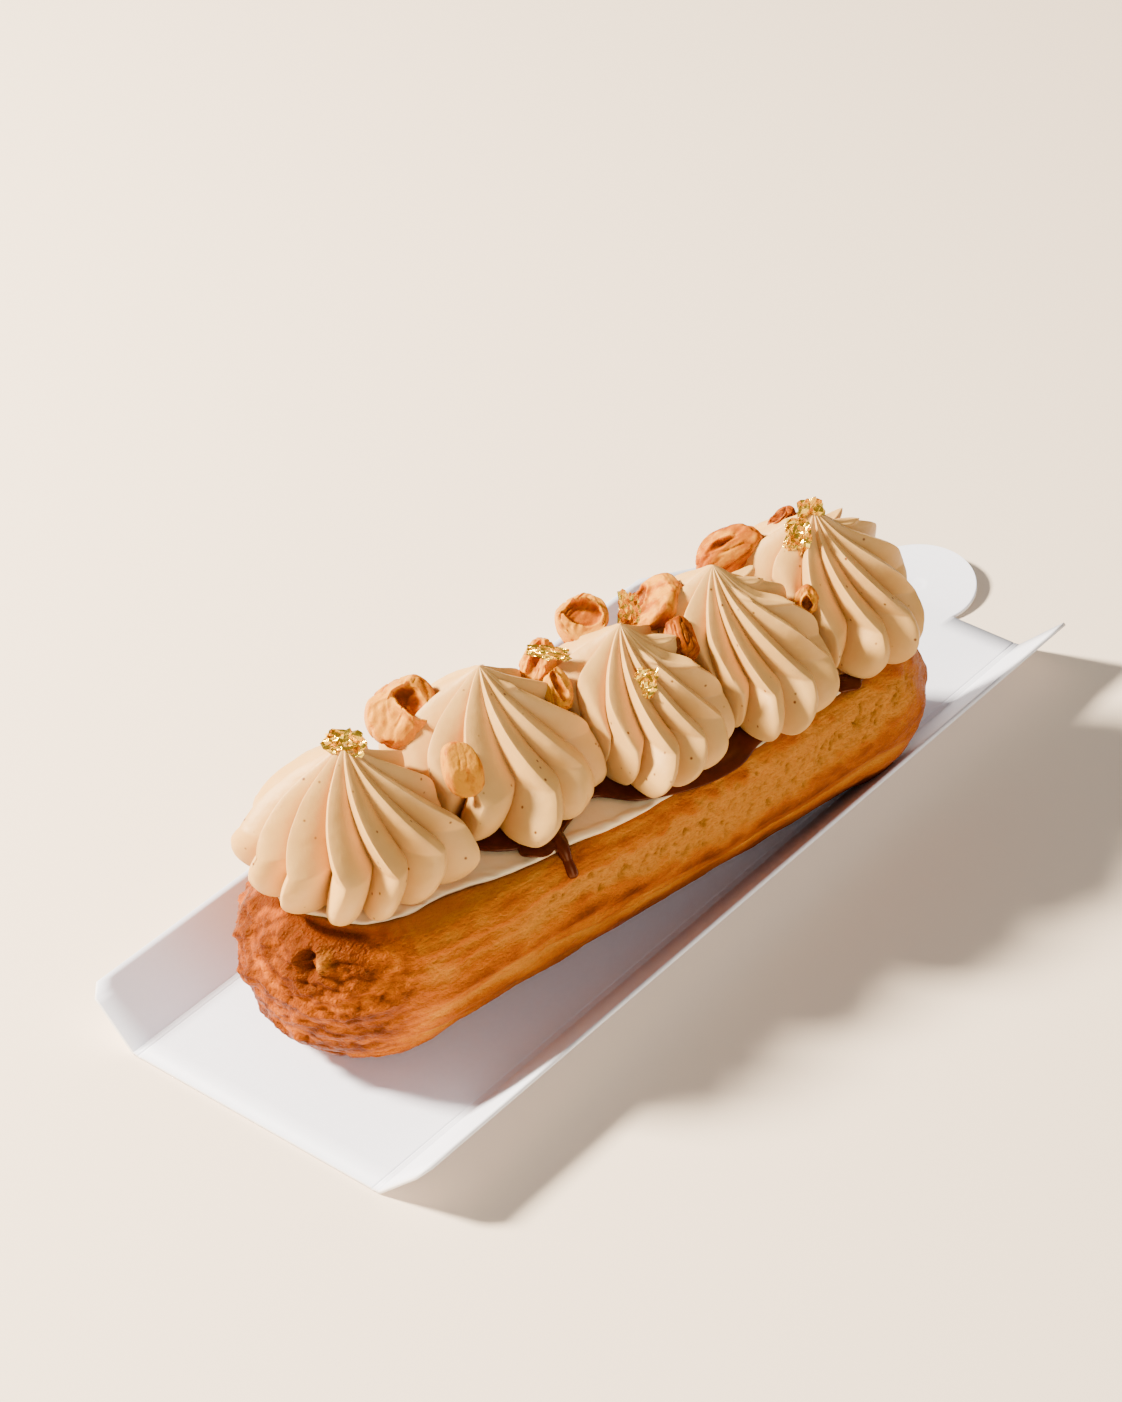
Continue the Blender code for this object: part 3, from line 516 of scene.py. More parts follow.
def crust_shape(points, height, angle):
    """Outward relief of the crust, and its masks: brown colour with painted shade, pale porous crumb, and
    pores painted dark as shade.

    On the sides, stripes lie at their own heights along X. On the near end, stripes are rings round
    the torn pit, stretched round the end, and both fields are blended where the end begins.
    """
    x = points[..., 0]
    front = step_up(-points[..., 1], -0.006, 0.002)
    level = height + 0.0006 * lumps(points, 0.020, 21)
    near_end = step_up(-x, *NEAR_END)
    far_end = step_up(x, *FAR_END)
    far_tip = step_up(x, *FAR_TIP)
    crusty = step_up(-x, *CRUSTY_END)
    plain = (1.0 - near_end) * (1.0 - far_end)
    low_fade = step_up(height, 0.0018, 0.0050)
    top_fade = step_up(BUN_RIM - height, 0.0, 0.0030)
    # The split between the ridges, with ragged edges, fades in behind the near end and out at the far tip
    split_way = (level - follow(x, SPLIT_HEIGHT)) / follow(x, SPLIT_HALF_WIDTH)
    ragged = 0.30 * lumps(points, 0.0050, 22) + 0.16 * lumps(points, 0.0022, 23)
    split = (1.0 - step_up(np.abs(split_way) + ragged, 0.55, 1.30)) * front
    split = split * step_up(x, -0.040, -0.022) * (1.0 - far_tip)
    # Ridges and seams of the right side, and plain waves on the back, round the pit and on the far end
    ridge_line = level - follow(x, RIDGE_HEIGHT)
    seam_line = level - follow(x, SEAM_HEIGHT)
    top_ridge = bell(level, TOP_RIDGE[1], TOP_RIDGE[0])
    side_ridges = (bell(ridge_line, 0.0016) + bell(seam_line, 0.0015, -0.0030) + 0.8 * top_ridge
                   + 0.7 * bell(seam_line, 0.0016, -0.0075))
    side_seams = bell(seam_line, 0.00075) + 0.8 * bell(seam_line, 0.0007, -0.0053)
    back_wave = np.cos((level - 0.0035) / BACK_SPACING * math.tau)
    around_pit = np.hypot((angle - PIT[0]) * END_RADIUS * 0.42, height - PIT[1])
    around_pit = around_pit + 0.0007 * lumps(points, 0.008, 24) + 0.0003 * lumps(points, 0.003, 30)
    end_wave = np.cos(around_pit / RING_SPACING * math.tau) * near_end
    far_wave = np.cos((level - 0.004) / 0.0050 * math.tau) * far_end
    stripes = (side_ridges - 0.9 * side_seams) * front * plain + 0.45 * back_wave * (1.0 - front) * plain
    fine_wave = np.cos(level / 0.0023 * math.tau + 1.6 * lumps(points * (0.4, 1.0, 1.0), 0.008, 34))
    relief = (STRIPE_RELIEF * stripes + 0.00012 * fine_wave * plain * (1.0 - split)) * low_fade * top_fade
    relief += (RING_RELIEF * end_wave + 0.00010 * far_wave) * low_fade
    wrinkle = np.cos(around_pit / WRINKLE_SPACING * math.tau + 2.2 * lumps(points, 0.005, 25)) * near_end
    relief += 0.00009 * wrinkle * step_up(lumps(points, 0.007, 31), -0.5, 0.5)
    fibres = rough(points * (0.30, 1.0, 1.0), 0.0018, 32) * (1.0 - near_end)
    relief += 0.00009 * fibres * low_fade * (1.0 + 0.8 * split)
    # Knobs on the left of the near end, and soft lumps everywhere
    left_part = 1.0 - step_up(angle, math.radians(196.0), math.radians(212.0))
    knobby = step_up(-x, *KNOBBY_END) * left_part
    bumps = KNOB_RELIEF * np.maximum(lumps(points, 0.0050, 5), 0.0) ** 1.2 * knobby
    bumps = bumps + 0.00025 * lumps(points, 0.009, 6) + 0.00035 * far_tip * lumps(points, 0.0055, 7)
    relief += bumps * low_fade * top_fade
    # The torn pit with its raised lip, the pale crumb beside it, and shreds over both
    pit_way = near_spot(angle, height, PIT)
    close = x < -0.05
    pit = np.exp(-pit_way**2.5) * close
    crumb = bell(near_spot(angle, height, CRUMB) + 0.25 * lumps(points, 0.0016, 26), 1.0) * close
    lip = bell(pit_way, 0.45, 1.7) * close
    torn = bell(near_spot(angle, height, TORN), 1.0) * close
    shreds = 1.0 - 2.0 * np.abs(lumps(points, 0.0034, 36, 9))
    relief += (SHRED_RELIEF * shreds + 0.00035 * lumps(points, 0.0013, 37, 9)) * torn
    relief = relief - PIT_DEPTH * pit + CRUMB_RELIEF * crumb * (1.0 + 0.5 * lumps(points, 0.0010, 27))
    relief += LIP_RELIEF * lip * (0.6 + 0.8 * lumps(points, 0.0028, 28))
    # Crinkles, cracks and blisters of the near end
    crinkle = np.maximum(1.0 - 2.2 * np.abs(lumps(points, 0.0042, 35, 9)), 0.0)
    crinkle = crinkle * near_end * step_up(height, 0.010, 0.020)
    relief += CRINKLE_RELIEF * crinkle * top_fade
    creases = np.maximum(1.0 - 3.4 * np.abs(lumps(points * (1.0, 1.0, 1.5), 0.0066, 38, 9)), 0.0)
    creases += 0.7 * np.maximum(1.0 - 3.6 * np.abs(lumps(points, 0.0036, 39, 9)), 0.0)
    relief -= CREASE_DEPTH * creases * near_end * low_fade * top_fade
    blisters = np.maximum(lumps(points, 0.0016, 29, 11) - 0.15, 0.0)
    blisters += 0.6 * np.maximum(lumps(points, 0.0009, 33, 11), 0.0)
    blisters = blisters * near_end * (0.25 + 0.75 * step_up(height, 0.015, 0.023))
    relief += BLISTER_RELIEF * blisters
    # Open pores in the split; the same mask paints them dark, as shade
    cells = 0.6 * lumps(points * (0.7, 1.0, 1.0), 0.0022, 41, 11) + 0.6 * lumps(points, 0.0010, 42, 11)
    pores = np.clip((cells - 0.16) * 1.7, 0.0, 1.0) * split
    open_pores = pores * low_fade * step_up(BUN_RIM - height, 0.0, 0.001)
    relief = relief - SPLIT_DEPTH * split - PORE_DEPTH * open_pores
    relief += (0.00005 + 0.00004 * near_end) * rough(points, 0.0024, 45) * low_fade
    # Brown colour, with painted shade: ridges brown first, the near end and what stands out there are
    # darkest
    brown = 0.35 + (0.30 * side_ridges - 0.30 * side_seams - 0.14 * top_ridge) * front * plain
    brown += (0.07 * fine_wave + 0.20 * back_wave * (1.0 - front)) * plain
    brown = brown + 0.10 * end_wave + 0.05 * far_wave + 0.13 * lumps(points, 0.014, 51)
    brown = brown + 0.12 * rough(points * (0.5, 1.0, 1.0), 0.0045, 53, 2) + 0.07 * fibres
    # Where the torn pit sinks in, it is painted darker brown as shade.
    brown = brown - 0.08 * wrinkle + 0.20 * far_tip + 0.22 * lip + 0.45 * pit - 0.55 * crumb
    burnt = bell((angle - BURNT_WAY) * END_RADIUS, 0.0060) * step_up(height, 0.0215, 0.0265)
    dark = 0.37 + 0.10 * rough(points, 0.0030, 55, 3) + 0.12 * step_up(height, 0.019, 0.026)
    # On the near end, the creases are painted darker as shade.
    brown = brown + (dark + 0.44 * burnt + 0.15 * creases) * crusty + torn * (0.16 - 0.22 * shreds)
    brown = brown - 0.10 * front * bell(x, 0.013, -0.036) - 0.16 * step_up(0.0050 - height, 0.0, 0.0035)
    brown *= 1.0 - 0.9 * split
    return relief, np.clip(brown, 0.0, 1.0), np.clip(split + 0.9 * crumb, 0.0, 1.0), pores


def bun_surface():
    """The profile swept round the spine: side and end profiles are blended by the outward angle."""
    spine, angle = spine_stations(BUN_SIDE_STEPS, BUN_END_STEPS)
    ends = np.abs(np.cos(angle))
    side = smooth_path(SIDE_PROFILE, BUN_RINGS)
    end = smooth_path(END_PROFILE, BUN_RINGS)
    radius = side[:, :1] * (1.0 - ends) + end[:, :1] * ends
    height = side[:, 1:] * (1.0 - ends) + end[:, 1:] * ends
    points = around_spine(spine, angle, radius, height)
    upper = np.clip((height - 0.020) / (BUN_RIM - 0.020), 0.0, 1.0)
    outward = np.maximum(rim_shift(points[..., 0], points[..., 1]), -0.0006)
    relief, brown, crumb, pores = crust_shape(points, height, angle % math.tau)
    radius = radius + relief * step_up(BUN_RIM - height, -0.0006, 0.0010) + 0.7 * upper * outward
    outer = around_spine(spine, angle, radius, height)
    trough = np.array(TROUGH_PROFILE)
    flat = around_spine(spine, angle, trough[:, :1], trough[:, 1:])
    inside = trough[:, :1] + rim_shift(flat[..., 0], flat[..., 1])
    inner = around_spine(spine, angle, inside, trough[:, 1:])
    pale = np.full(inner.shape[:2], 0.15)
    return np.vstack([outer, inner]), {"browning_and_painted_shade": np.vstack([brown, pale]).ravel(),
                                       "crumb": np.vstack([crumb, 4 * pale]).ravel(),
                                       "pores": np.vstack([pores, 0 * pale]).ravel()}


def make_rings(name, points, material, masks=None):
    """A piece from closed rings of points, with one face over each end."""
    rings, around = points.shape[:2]
    caps = (range(around - 1, -1, -1), range((rings - 1) * around, rings * around))
    return make_piece(name, points.reshape(-1, 3), grid_faces(rings, around), material, caps, masks)


def mask_value(material, name):
    """A mask that is stored on the mesh's points."""
    return add_node(material.node_tree, "ShaderNodeAttribute", attribute_name=name).outputs["Fac"]


def mix_colours(material, share, low, high, blend="MIX"):
    """Mixes two colours, each a socket or three numbers, by a share."""
    node = add_node(material.node_tree, "ShaderNodeMix", data_type="RGBA", blend_type=blend)
    sockets = {socket.name: socket for socket in node.inputs if socket.enabled}
    for name, value in (("Factor", share), ("A", low), ("B", high)):
        if isinstance(value, bpy.types.NodeSocket):
            material.node_tree.links.new(value, sockets[name])
        elif isinstance(value, tuple):
            sockets[name].default_value = (*value, 1.0)
        else:
            sockets[name].default_value = value
    return [socket for socket in node.outputs if socket.enabled][0]


def subsurface(shader, weight, scale, radius):
    """Light that enters and leaves again a little way off: its share, its reach and its colour."""
    shader.inputs["Subsurface Weight"].default_value = weight
    shader.inputs["Subsurface Scale"].default_value = scale
    shader.inputs["Subsurface Radius"].default_value = radius


def crust_material():
    """Baked choux: pale straw in the split, then golden, orange brown and dark brown on the ridges."""
    material, shader = principled("baked_choux", 0.42)
    coarse, fine = grain(material, 560.0, (0.55, 1.0, 1.0))
    # This mask holds the crust's brown colour, with painted shade in the torn pit and in the near end's
    # creases.
    brown = mask_value(material, "browning_and_painted_shade")
    value = weighted_sum(material, ((brown, 1.0), (coarse, 0.46), (fine, 0.30)), -0.38)
    colour = ramp(material, value, (
        (0.02, (0.52, 0.185, 0.014)), (0.26, (0.46, 0.130, 0.006)), (0.46, (0.39, 0.086, 0.003)),
        (0.68, (0.25, 0.048, 0.0014)), (0.95, (0.100, 0.0155, 0.0005))))
    crumb = weighted_sum(material, ((mask_value(material, "crumb"), 0.75), (fine, 0.3)), -0.15)
    straw = ramp(material, fine, ((0.35, (0.40, 0.122, 0.009)), (0.62, (0.54, 0.205, 0.022))))
    colour = mix_colours(material, crumb, colour, straw)
    # The pores are painted dark, as shade inside them.
    pores = mask_value(material, "pores")
    colour = mix_colours(material, pores, colour, (0.20, 0.075, 0.005))
    gloss = add_node(material.node_tree, "ShaderNodeMapRange", **{"To Min": 0.62, "To Max": 0.38})
    material.node_tree.links.new(value, gloss.inputs["Value"])
    material.node_tree.links.new(gloss.outputs["Result"], shader.inputs["Roughness"])
    subsurface(shader, 0.06, 0.0010, (1.0, 0.30, 0.04))
    height = weighted_sum(material, ((coarse, 0.55), (fine, 0.45)))
    finish_shader(material, shader, colour, height, 0.00080, 0.95, 0.09, (1.0, 0.50, 0.05))
    return material


bun_points, bun_masks = bun_surface()
bun = make_rings("baked_bun", bun_points, crust_material(), bun_masks)
dress(bun, "choux_crust", "choux_bun")

# The vanilla cream filling: piped into the trough and smoothed off, it swells over the cut rim in
# a soft uneven band that shows between the crust and the rosettes.
FILLING_PROFILE = (
    (0.0102, 0.0221), (0.0122, 0.0225), (0.0138, 0.0243), (0.0144, 0.0267), (0.0151, 0.0286),
    (0.0158, 0.0288), (0.0161, 0.0291), (0.0157, 0.0294), (0.0148, 0.0294), (0.0130, 0.0293),
)
FILLING_BULGES = ((0.0012, -0.0080, 0.007), (0.0022, -0.0600, 0.009))
FILLING_RINGS = 40
FILLING_SIDE_STEPS = 200
FILLING_END_STEPS = 90


def filling_surface():
    """The filling's profile swept round the spine, drawn out where it bulges, with soft unevenness."""
    spine, angle = spine_stations(FILLING_SIDE_STEPS, FILLING_END_STEPS)
    profile = smooth_path(FILLING_PROFILE, FILLING_RINGS)
    base = profile[:, :1]
    level = profile[:, 1:]
    points = around_spine(spine, angle, base, level)
    x = points[..., 0]
    y = points[..., 1]
    bulge = hill(x, FILLING_BULGES[0]) * (y < 0.0)
    bulge += hill(x, FILLING_BULGES[1]) * np.clip(y / 0.006 + 0.6, 0.0, 1.0)
    soft = 0.00030 * lumps(points, 0.011, 61) + 0.00012 * lumps(points, 0.004, 62)
    radius = base + rim_shift(x, y) + step_up(level, 0.0280, 0.0289) * (bulge + soft)
    outer_lip = step_up(level, 0.0289, 0.0293) * step_up(base, 0.0138, 0.0150)
    height = level + outer_lip * 0.00050 * (lumps(points, 0.0070, 63) + 0.6 * lumps(points, 0.0034, 64))
    return around_spine(spine, angle, radius, height)


def speck_mask(material, share):
    """Small round specks in the given share of the cells of a 2.5 mm pattern."""
    tree = material.node_tree
    place = add_node(tree, "ShaderNodeTexCoord")
    cells = add_node(tree, "ShaderNodeTexVoronoi", Scale=400.0, Randomness=1.0)
    near = add_node(tree, "ShaderNodeMapRange",
                    **{"From Min": 0.050, "From Max": 0.130, "To Min": 1.0, "To Max": 0.0})
    split = add_node(tree, "ShaderNodeSeparateColor")
    chosen = add_node(tree, "ShaderNodeMath", operation="LESS_THAN")
    chosen.inputs[1].default_value = share
    both = add_node(tree, "ShaderNodeMath", operation="MULTIPLY")
    for output, target in ((place.outputs["Object"], cells.inputs["Vector"]),
                           (cells.outputs["Distance"], near.inputs["Value"]),
                           (cells.outputs["Color"], split.inputs["Color"]),
                           (split.outputs["Red"], chosen.inputs[0]),
                           (near.outputs["Result"], both.inputs[0]), (chosen.outputs[0], both.inputs[1])):
        tree.links.new(output, target)
    return both.outputs[0]


def cream_material(name, pale, deep, specks):
    """Whipped cream: slightly translucent, faintly mottled, with fine dark specks where there are any."""
    material, shader = principled(name, 0.44)
    coarse, fine = grain(material, 150.0)
    colour = ramp(material, coarse, ((0.35, deep), (0.65, pale)))
    if specks > 0.0:
        colour = mix_colours(material, speck_mask(material, specks), colour, (0.16, 0.045, 0.006))
    subsurface(shader, 0.16, 0.0010, (1.0, 0.70, 0.42))
    finish_shader(material, shader, colour, fine, 0.00018, 0.45, 0.30, (1.0, 0.85, 0.62))
    return material


filling = make_rings("vanilla_cream", filling_surface(),
                     cream_material("vanilla_cream", (0.95, 0.71, 0.37), (0.94, 0.66, 0.32), 0.0))
dress(filling, "filling_cream", "cream_filling")

# The praline: dark hazelnut caramel poured over the filling before the rosettes were piped. It runs
# out between them in rounded pools and hangs over the rim, with a thin thread down the crust.
PRALINE_FLOOR = 0.0296
PRALINE_THICKNESS = 0.0009
PRALINE_ENDS = (-0.0345, 0.0395)
PRALINE_HALF_WIDTH = 0.0142
PRALINE_RIGHT_EDGE = (
    (-0.0345, 0.0070), (-0.0322, 0.0132), (-0.0280, 0.0156), (-0.0225, 0.0168), (-0.0165, 0.0135),
    (-0.0100, 0.0108), (-0.0045, 0.0165), (0.0050, 0.0188), (0.0140, 0.0197), (0.0205, 0.0189),
    (0.0285, 0.0195), (0.0340, 0.0150), (0.0395, 0.0130),
)
PRALINE_DROOP = 0.0015
DRIP_PATH = (
    (-0.0212, -0.0140, 0.0298), (-0.0217, -0.0158, 0.0298), (-0.0220, -0.0171, 0.0291),
    (-0.0222, -0.0182, 0.0279), (-0.0223, -0.0191, 0.0266), (-0.0223, -0.0195, 0.0257),
)
DRIP_RADII = ((0.0, 0.0016), (0.3, 0.0013), (0.6, 0.0008), (0.85, 0.0010), (1.0, 0.0010))
PRALINE_PATCHES = (
    ((0.0425, -0.0158, 0.0297), (0.0030, 0.0022, 0.0006)),
    ((-0.0246, -0.0140, 0.0303), (0.0040, 0.0026, 0.0005)),
)


def praline_surface():
    """Rings drawn in from an uneven outline, under a rounded edge that droops where it passes the rim."""
    middle = sum(PRALINE_ENDS) / 2
    reach = (PRALINE_ENDS[1] - PRALINE_ENDS[0]) / 2
    angle = np.linspace(0.0, math.tau, 720, endpoint=False)[None, :]
    x = middle + reach * np.cos(angle)
    left = PRALINE_HALF_WIDTH + 0.0012 * np.sin(x / 0.0042 + 1.0) + 0.0009 * np.sin(x / 0.0023 + 2.0)
    edge = np.where(np.sin(angle) < 0.0, follow(x, PRALINE_RIGHT_EDGE), left)
    y = edge * np.sign(np.sin(angle)) * np.abs(np.sin(angle)) ** 0.45
    turn = np.linspace(-math.pi / 2, math.pi / 2, 15)[:, None]
    inset = np.vstack([[[0.0030]], 0.0008 * (1.0 - np.cos(turn)), [[0.0030], [0.0060]]])
    level = np.vstack([[[0.0]], 0.5 + 0.5 * np.sin(turn), [[1.0], [1.0]]])
    across = y * (1.0 - inset / PRALINE_HALF_WIDTH)
    along = middle + (x - middle) * (1.0 - inset / reach)
    height = PRALINE_FLOOR + level * PRALINE_THICKNESS - PRALINE_DROOP * step_up(-across, 0.0168, 0.0197)
    return xyz(along, across, height)


def strand(path, radii, rings=72, around=28):
    """A round thread along a path: rings square to it, with the last ones drawn in to a rounded end."""
    line = smooth_path(path, rings)
    forward = np.gradient(line, axis=0)
    forward /= np.linalg.norm(forward, axis=1, keepdims=True)
    side = np.cross(forward, (1.0, 0.0, 0.0))
    side /= np.linalg.norm(side, axis=1, keepdims=True)
    other = np.cross(forward, side)
    share = np.linspace(0.0, 1.0, rings)
    sizes = np.array(radii)
    radius = np.interp(share, sizes[:, 0], sizes[:, 1])
    radius *= np.sqrt(np.clip(1.0 - np.clip((share - 0.9) / 0.1, 0.0, 1.0) ** 2, 0.0016, 1.0))
    turn = np.linspace(0.0, math.tau, around, endpoint=False)[None, :, None]
    ring = side[:, None] * np.cos(turn) + other[:, None] * np.sin(turn)
    return line[:, None] + radius[:, None, None] * ring


def closed_ball(rings, around):
    """Points of a unit ball from its lowest ring up, with both poles, its quads and its pole faces."""
    rise = np.linspace(-math.pi / 2, math.pi / 2, rings + 2)[1:-1, None]
    turn = np.linspace(0.0, math.tau, around, endpoint=False)[None, :]
    ball = xyz(np.cos(rise) * np.cos(turn), np.cos(rise) * np.sin(turn), np.sin(rise))
    points = np.vstack([ball.reshape(-1, 3), [[0.0, 0.0, -1.0], [0.0, 0.0, 1.0]]])
    south = rings * around
    last = south - around
    steps = np.arange(around)
    after = (steps + 1) % around
    below = np.stack([after, steps, np.full(around, south)], axis=1)
    above = np.stack([last + steps, last + after, np.full(around, south + 1)], axis=1)
    return points, grid_faces(rings, around), np.vstack([below, above]).tolist()


def praline_material():
    """Dark glossy caramel."""
    material, shader = principled("praline_sauce", 0.20)
    coarse, fine = grain(material, 230.0)
    colour = ramp(material, coarse, ((0.3, (0.040, 0.0045, 0.0003)), (0.75, (0.085, 0.0100, 0.0008))))
    finish_shader(material, shader, colour, fine, 0.00006, 0.4, 0.35, (1.0, 0.55, 0.25))
    return material


sauce = praline_material()
praline = make_rings("praline_sauce", praline_surface(), sauce)
dress(praline, "praline_sauce", "praline_layer")
drip = make_rings("praline_thread", strand(DRIP_PATH, DRIP_RADII), sauce)
dress(drip, "praline_sauce", "praline_layer")
for number, (place, size) in enumerate(PRALINE_PATCHES, 1):
    ball, quads, caps = closed_ball(24, 48)
    ball = ball * (1.0 + 0.14 * lumps(ball, 1.1, 80 + number)[:, None]) * size + place
    patch = make_piece(f"praline_patch_{number}", ball, quads, sauce, caps)
    dress(patch, "praline_sauce", "praline_layer")

# The five rosettes: hazelnut praline cream piped through a star nozzle with a twist, then drawn up to
# a tip. Each lies pressed against the next, and their lobes end in rounded tongues of their own length.
ROSETTE_CENTRES = (
    (-0.0490, 0.0015), (-0.0205, 0.0018), (0.0028, -0.0036), (0.0247, -0.0038), (0.0500, 0.0),
)
ROSETTE_RADII = (0.0188, 0.0182, 0.0180, 0.0184, 0.0186)
ROSETTE_BASES = (0.0296, 0.0308, 0.0308, 0.0308, 0.0296)
ROSETTE_TIPS = (
    (-0.0486, 0.0035, 0.0525), (-0.0200, 0.0050, 0.0525), (0.0050, -0.0005, 0.0515),
    (0.0270, 0.0010, 0.0520), (0.0500, 0.0006, 0.0525),
)
CONTACT_PLANES = (-0.1, -0.0348, -0.0058, 0.0170, 0.0398, 0.1)
CONTACT_SOFTNESS = 0.0022
ROSETTE_PROFILE = (
    (0.0, 1.0), (0.10, 0.955), (0.25, 0.87), (0.49, 0.74), (0.75, 0.57), (0.93, 0.41), (1.0, 0.28),
    (0.975, 0.15), (0.87, 0.045), (0.72, 0.0),
)
# Directions of the ridge crests at the widest level, in degrees from +X seen from above
RIDGE_DEGREES = (
    (-182, -158, -126, -96, -66, -40, -5, 26, 57, 88, 119, 150),
    (-193, -160, -127, -88, -60, -24, 9, 41, 73, 104, 136),
    (-195, -160, -124, -98, -76, -54, -28, 6, 44, 73, 100, 127),
    (-184, -150, -118, -94, -72, -50, -24, 6, 38, 70, 106, 142),
    (-195, -160, -118, -92, -70, -46, -18, 14, 44, 74, 104, 134),
)
# A groove lies nearer to the next crest than to the one before it, more so above than at the foot
GROOVE_PLACES = (0.72, 0.56)
RIDGE_DEPTHS = ((0.0, 0.20), (0.15, 0.34), (0.45, 0.41), (0.75, 0.39), (1.0, 0.36))
FIN_POWER = 1.15
RIDGE_TWIST = 0.85
RIDGE_HOOK = 0.55
HOOK_START = 0.60
# How far the feet reach by direction, as a share of the usual: degrees from +X, share
FOOT_REACHES = (
    ((-210, 0.98), (-175, 0.93), (-155, 0.88), (-126, 0.86), (-100, 0.84),
     (-59, 0.94), (-43, 1.0), (0, 1.0), (90, 1.0)),
    ((-200, 0.95), (-146, 0.87), (-109, 1.05), (-71, 0.97), (-56, 1.04),
     (-43, 1.05), (0, 1.0), (90, 1.0)),
    ((-220, 0.85), (-137, 0.97), (-104, 1.04), (-81, 1.08), (-64, 1.07),
     (-40, 1.0), (0, 1.0), (90, 0.95)),
    ((-180, 0.90), (-126, 0.82), (-107, 1.06), (-79, 1.08), (-62, 1.09),
     (-46, 1.06), (0, 1.0), (90, 0.95)),
    ((-180, 0.95), (-140, 1.02), (-113, 1.09), (-84, 1.06), (-70, 1.05),
     (-61, 1.00), (-30, 0.93), (0, 0.92), (90, 0.96)),
)
# Fuller shoulders on the side away from the camera's left: share of the radius for each rosette
SHOULDERS = (0.02, 0.06, 0.16, 0.24, 0.20)
WIDEST_DROP = 0.73
# Ridges that were torn off as the nozzle left, and so begin lower: rosette, ridge, share of the drop
TORN_RIDGES = (
    (1, 5, 0.12), (2, 5, 0.16), (2, 6, 0.27), (2, 7, 0.20), (3, 5, 0.14), (3, 6, 0.24), (3, 7, 0.17),
    (3, 8, 0.30), (4, 7, 0.18), (4, 8, 0.28), (4, 9, 0.20),
)
# Lobes that run out farther at the foot than the others: rosette, ridge and share of the radius
LONG_TONGUES = ((1, 3, 0.10), (0, 5, 0.05), (4, 2, 0.05), (3, 3, 0.04))
# Shares of the drop between which fins round off, feet reach their length and long tongues theirs
ROUNDING_DROPS = (0.20, 0.85)
FOOT_DROPS = (0.35, 0.85)
TONGUE_DROPS = (0.55, 0.85)
SHOULDER_WAY = math.radians(-25.0)
HALF_RIDGE_STEPS = 14
ROSETTE_RINGS = 146


def press_flat(x, low, high):
    """Presses x smoothly inside two planes: past a soft edge it only creeps towards the plane."""
    soft = CONTACT_SOFTNESS
    over = np.maximum(x - (high - soft), 0.0)
    x = np.where(over > 0.0, high - soft * np.exp(-over / soft), x)
    under = np.maximum((low + soft) - x, 0.0)
    return np.where(under > 0.0, low + soft * np.exp(-under / soft), x)


def beside_ridge(phase, ridge):
    """1 on a ridge's crest, falling evenly to 0 at the groove on either side."""
    return np.clip(1.0 - np.abs(phase - ridge) * 2.0, 0.0, 1.0)


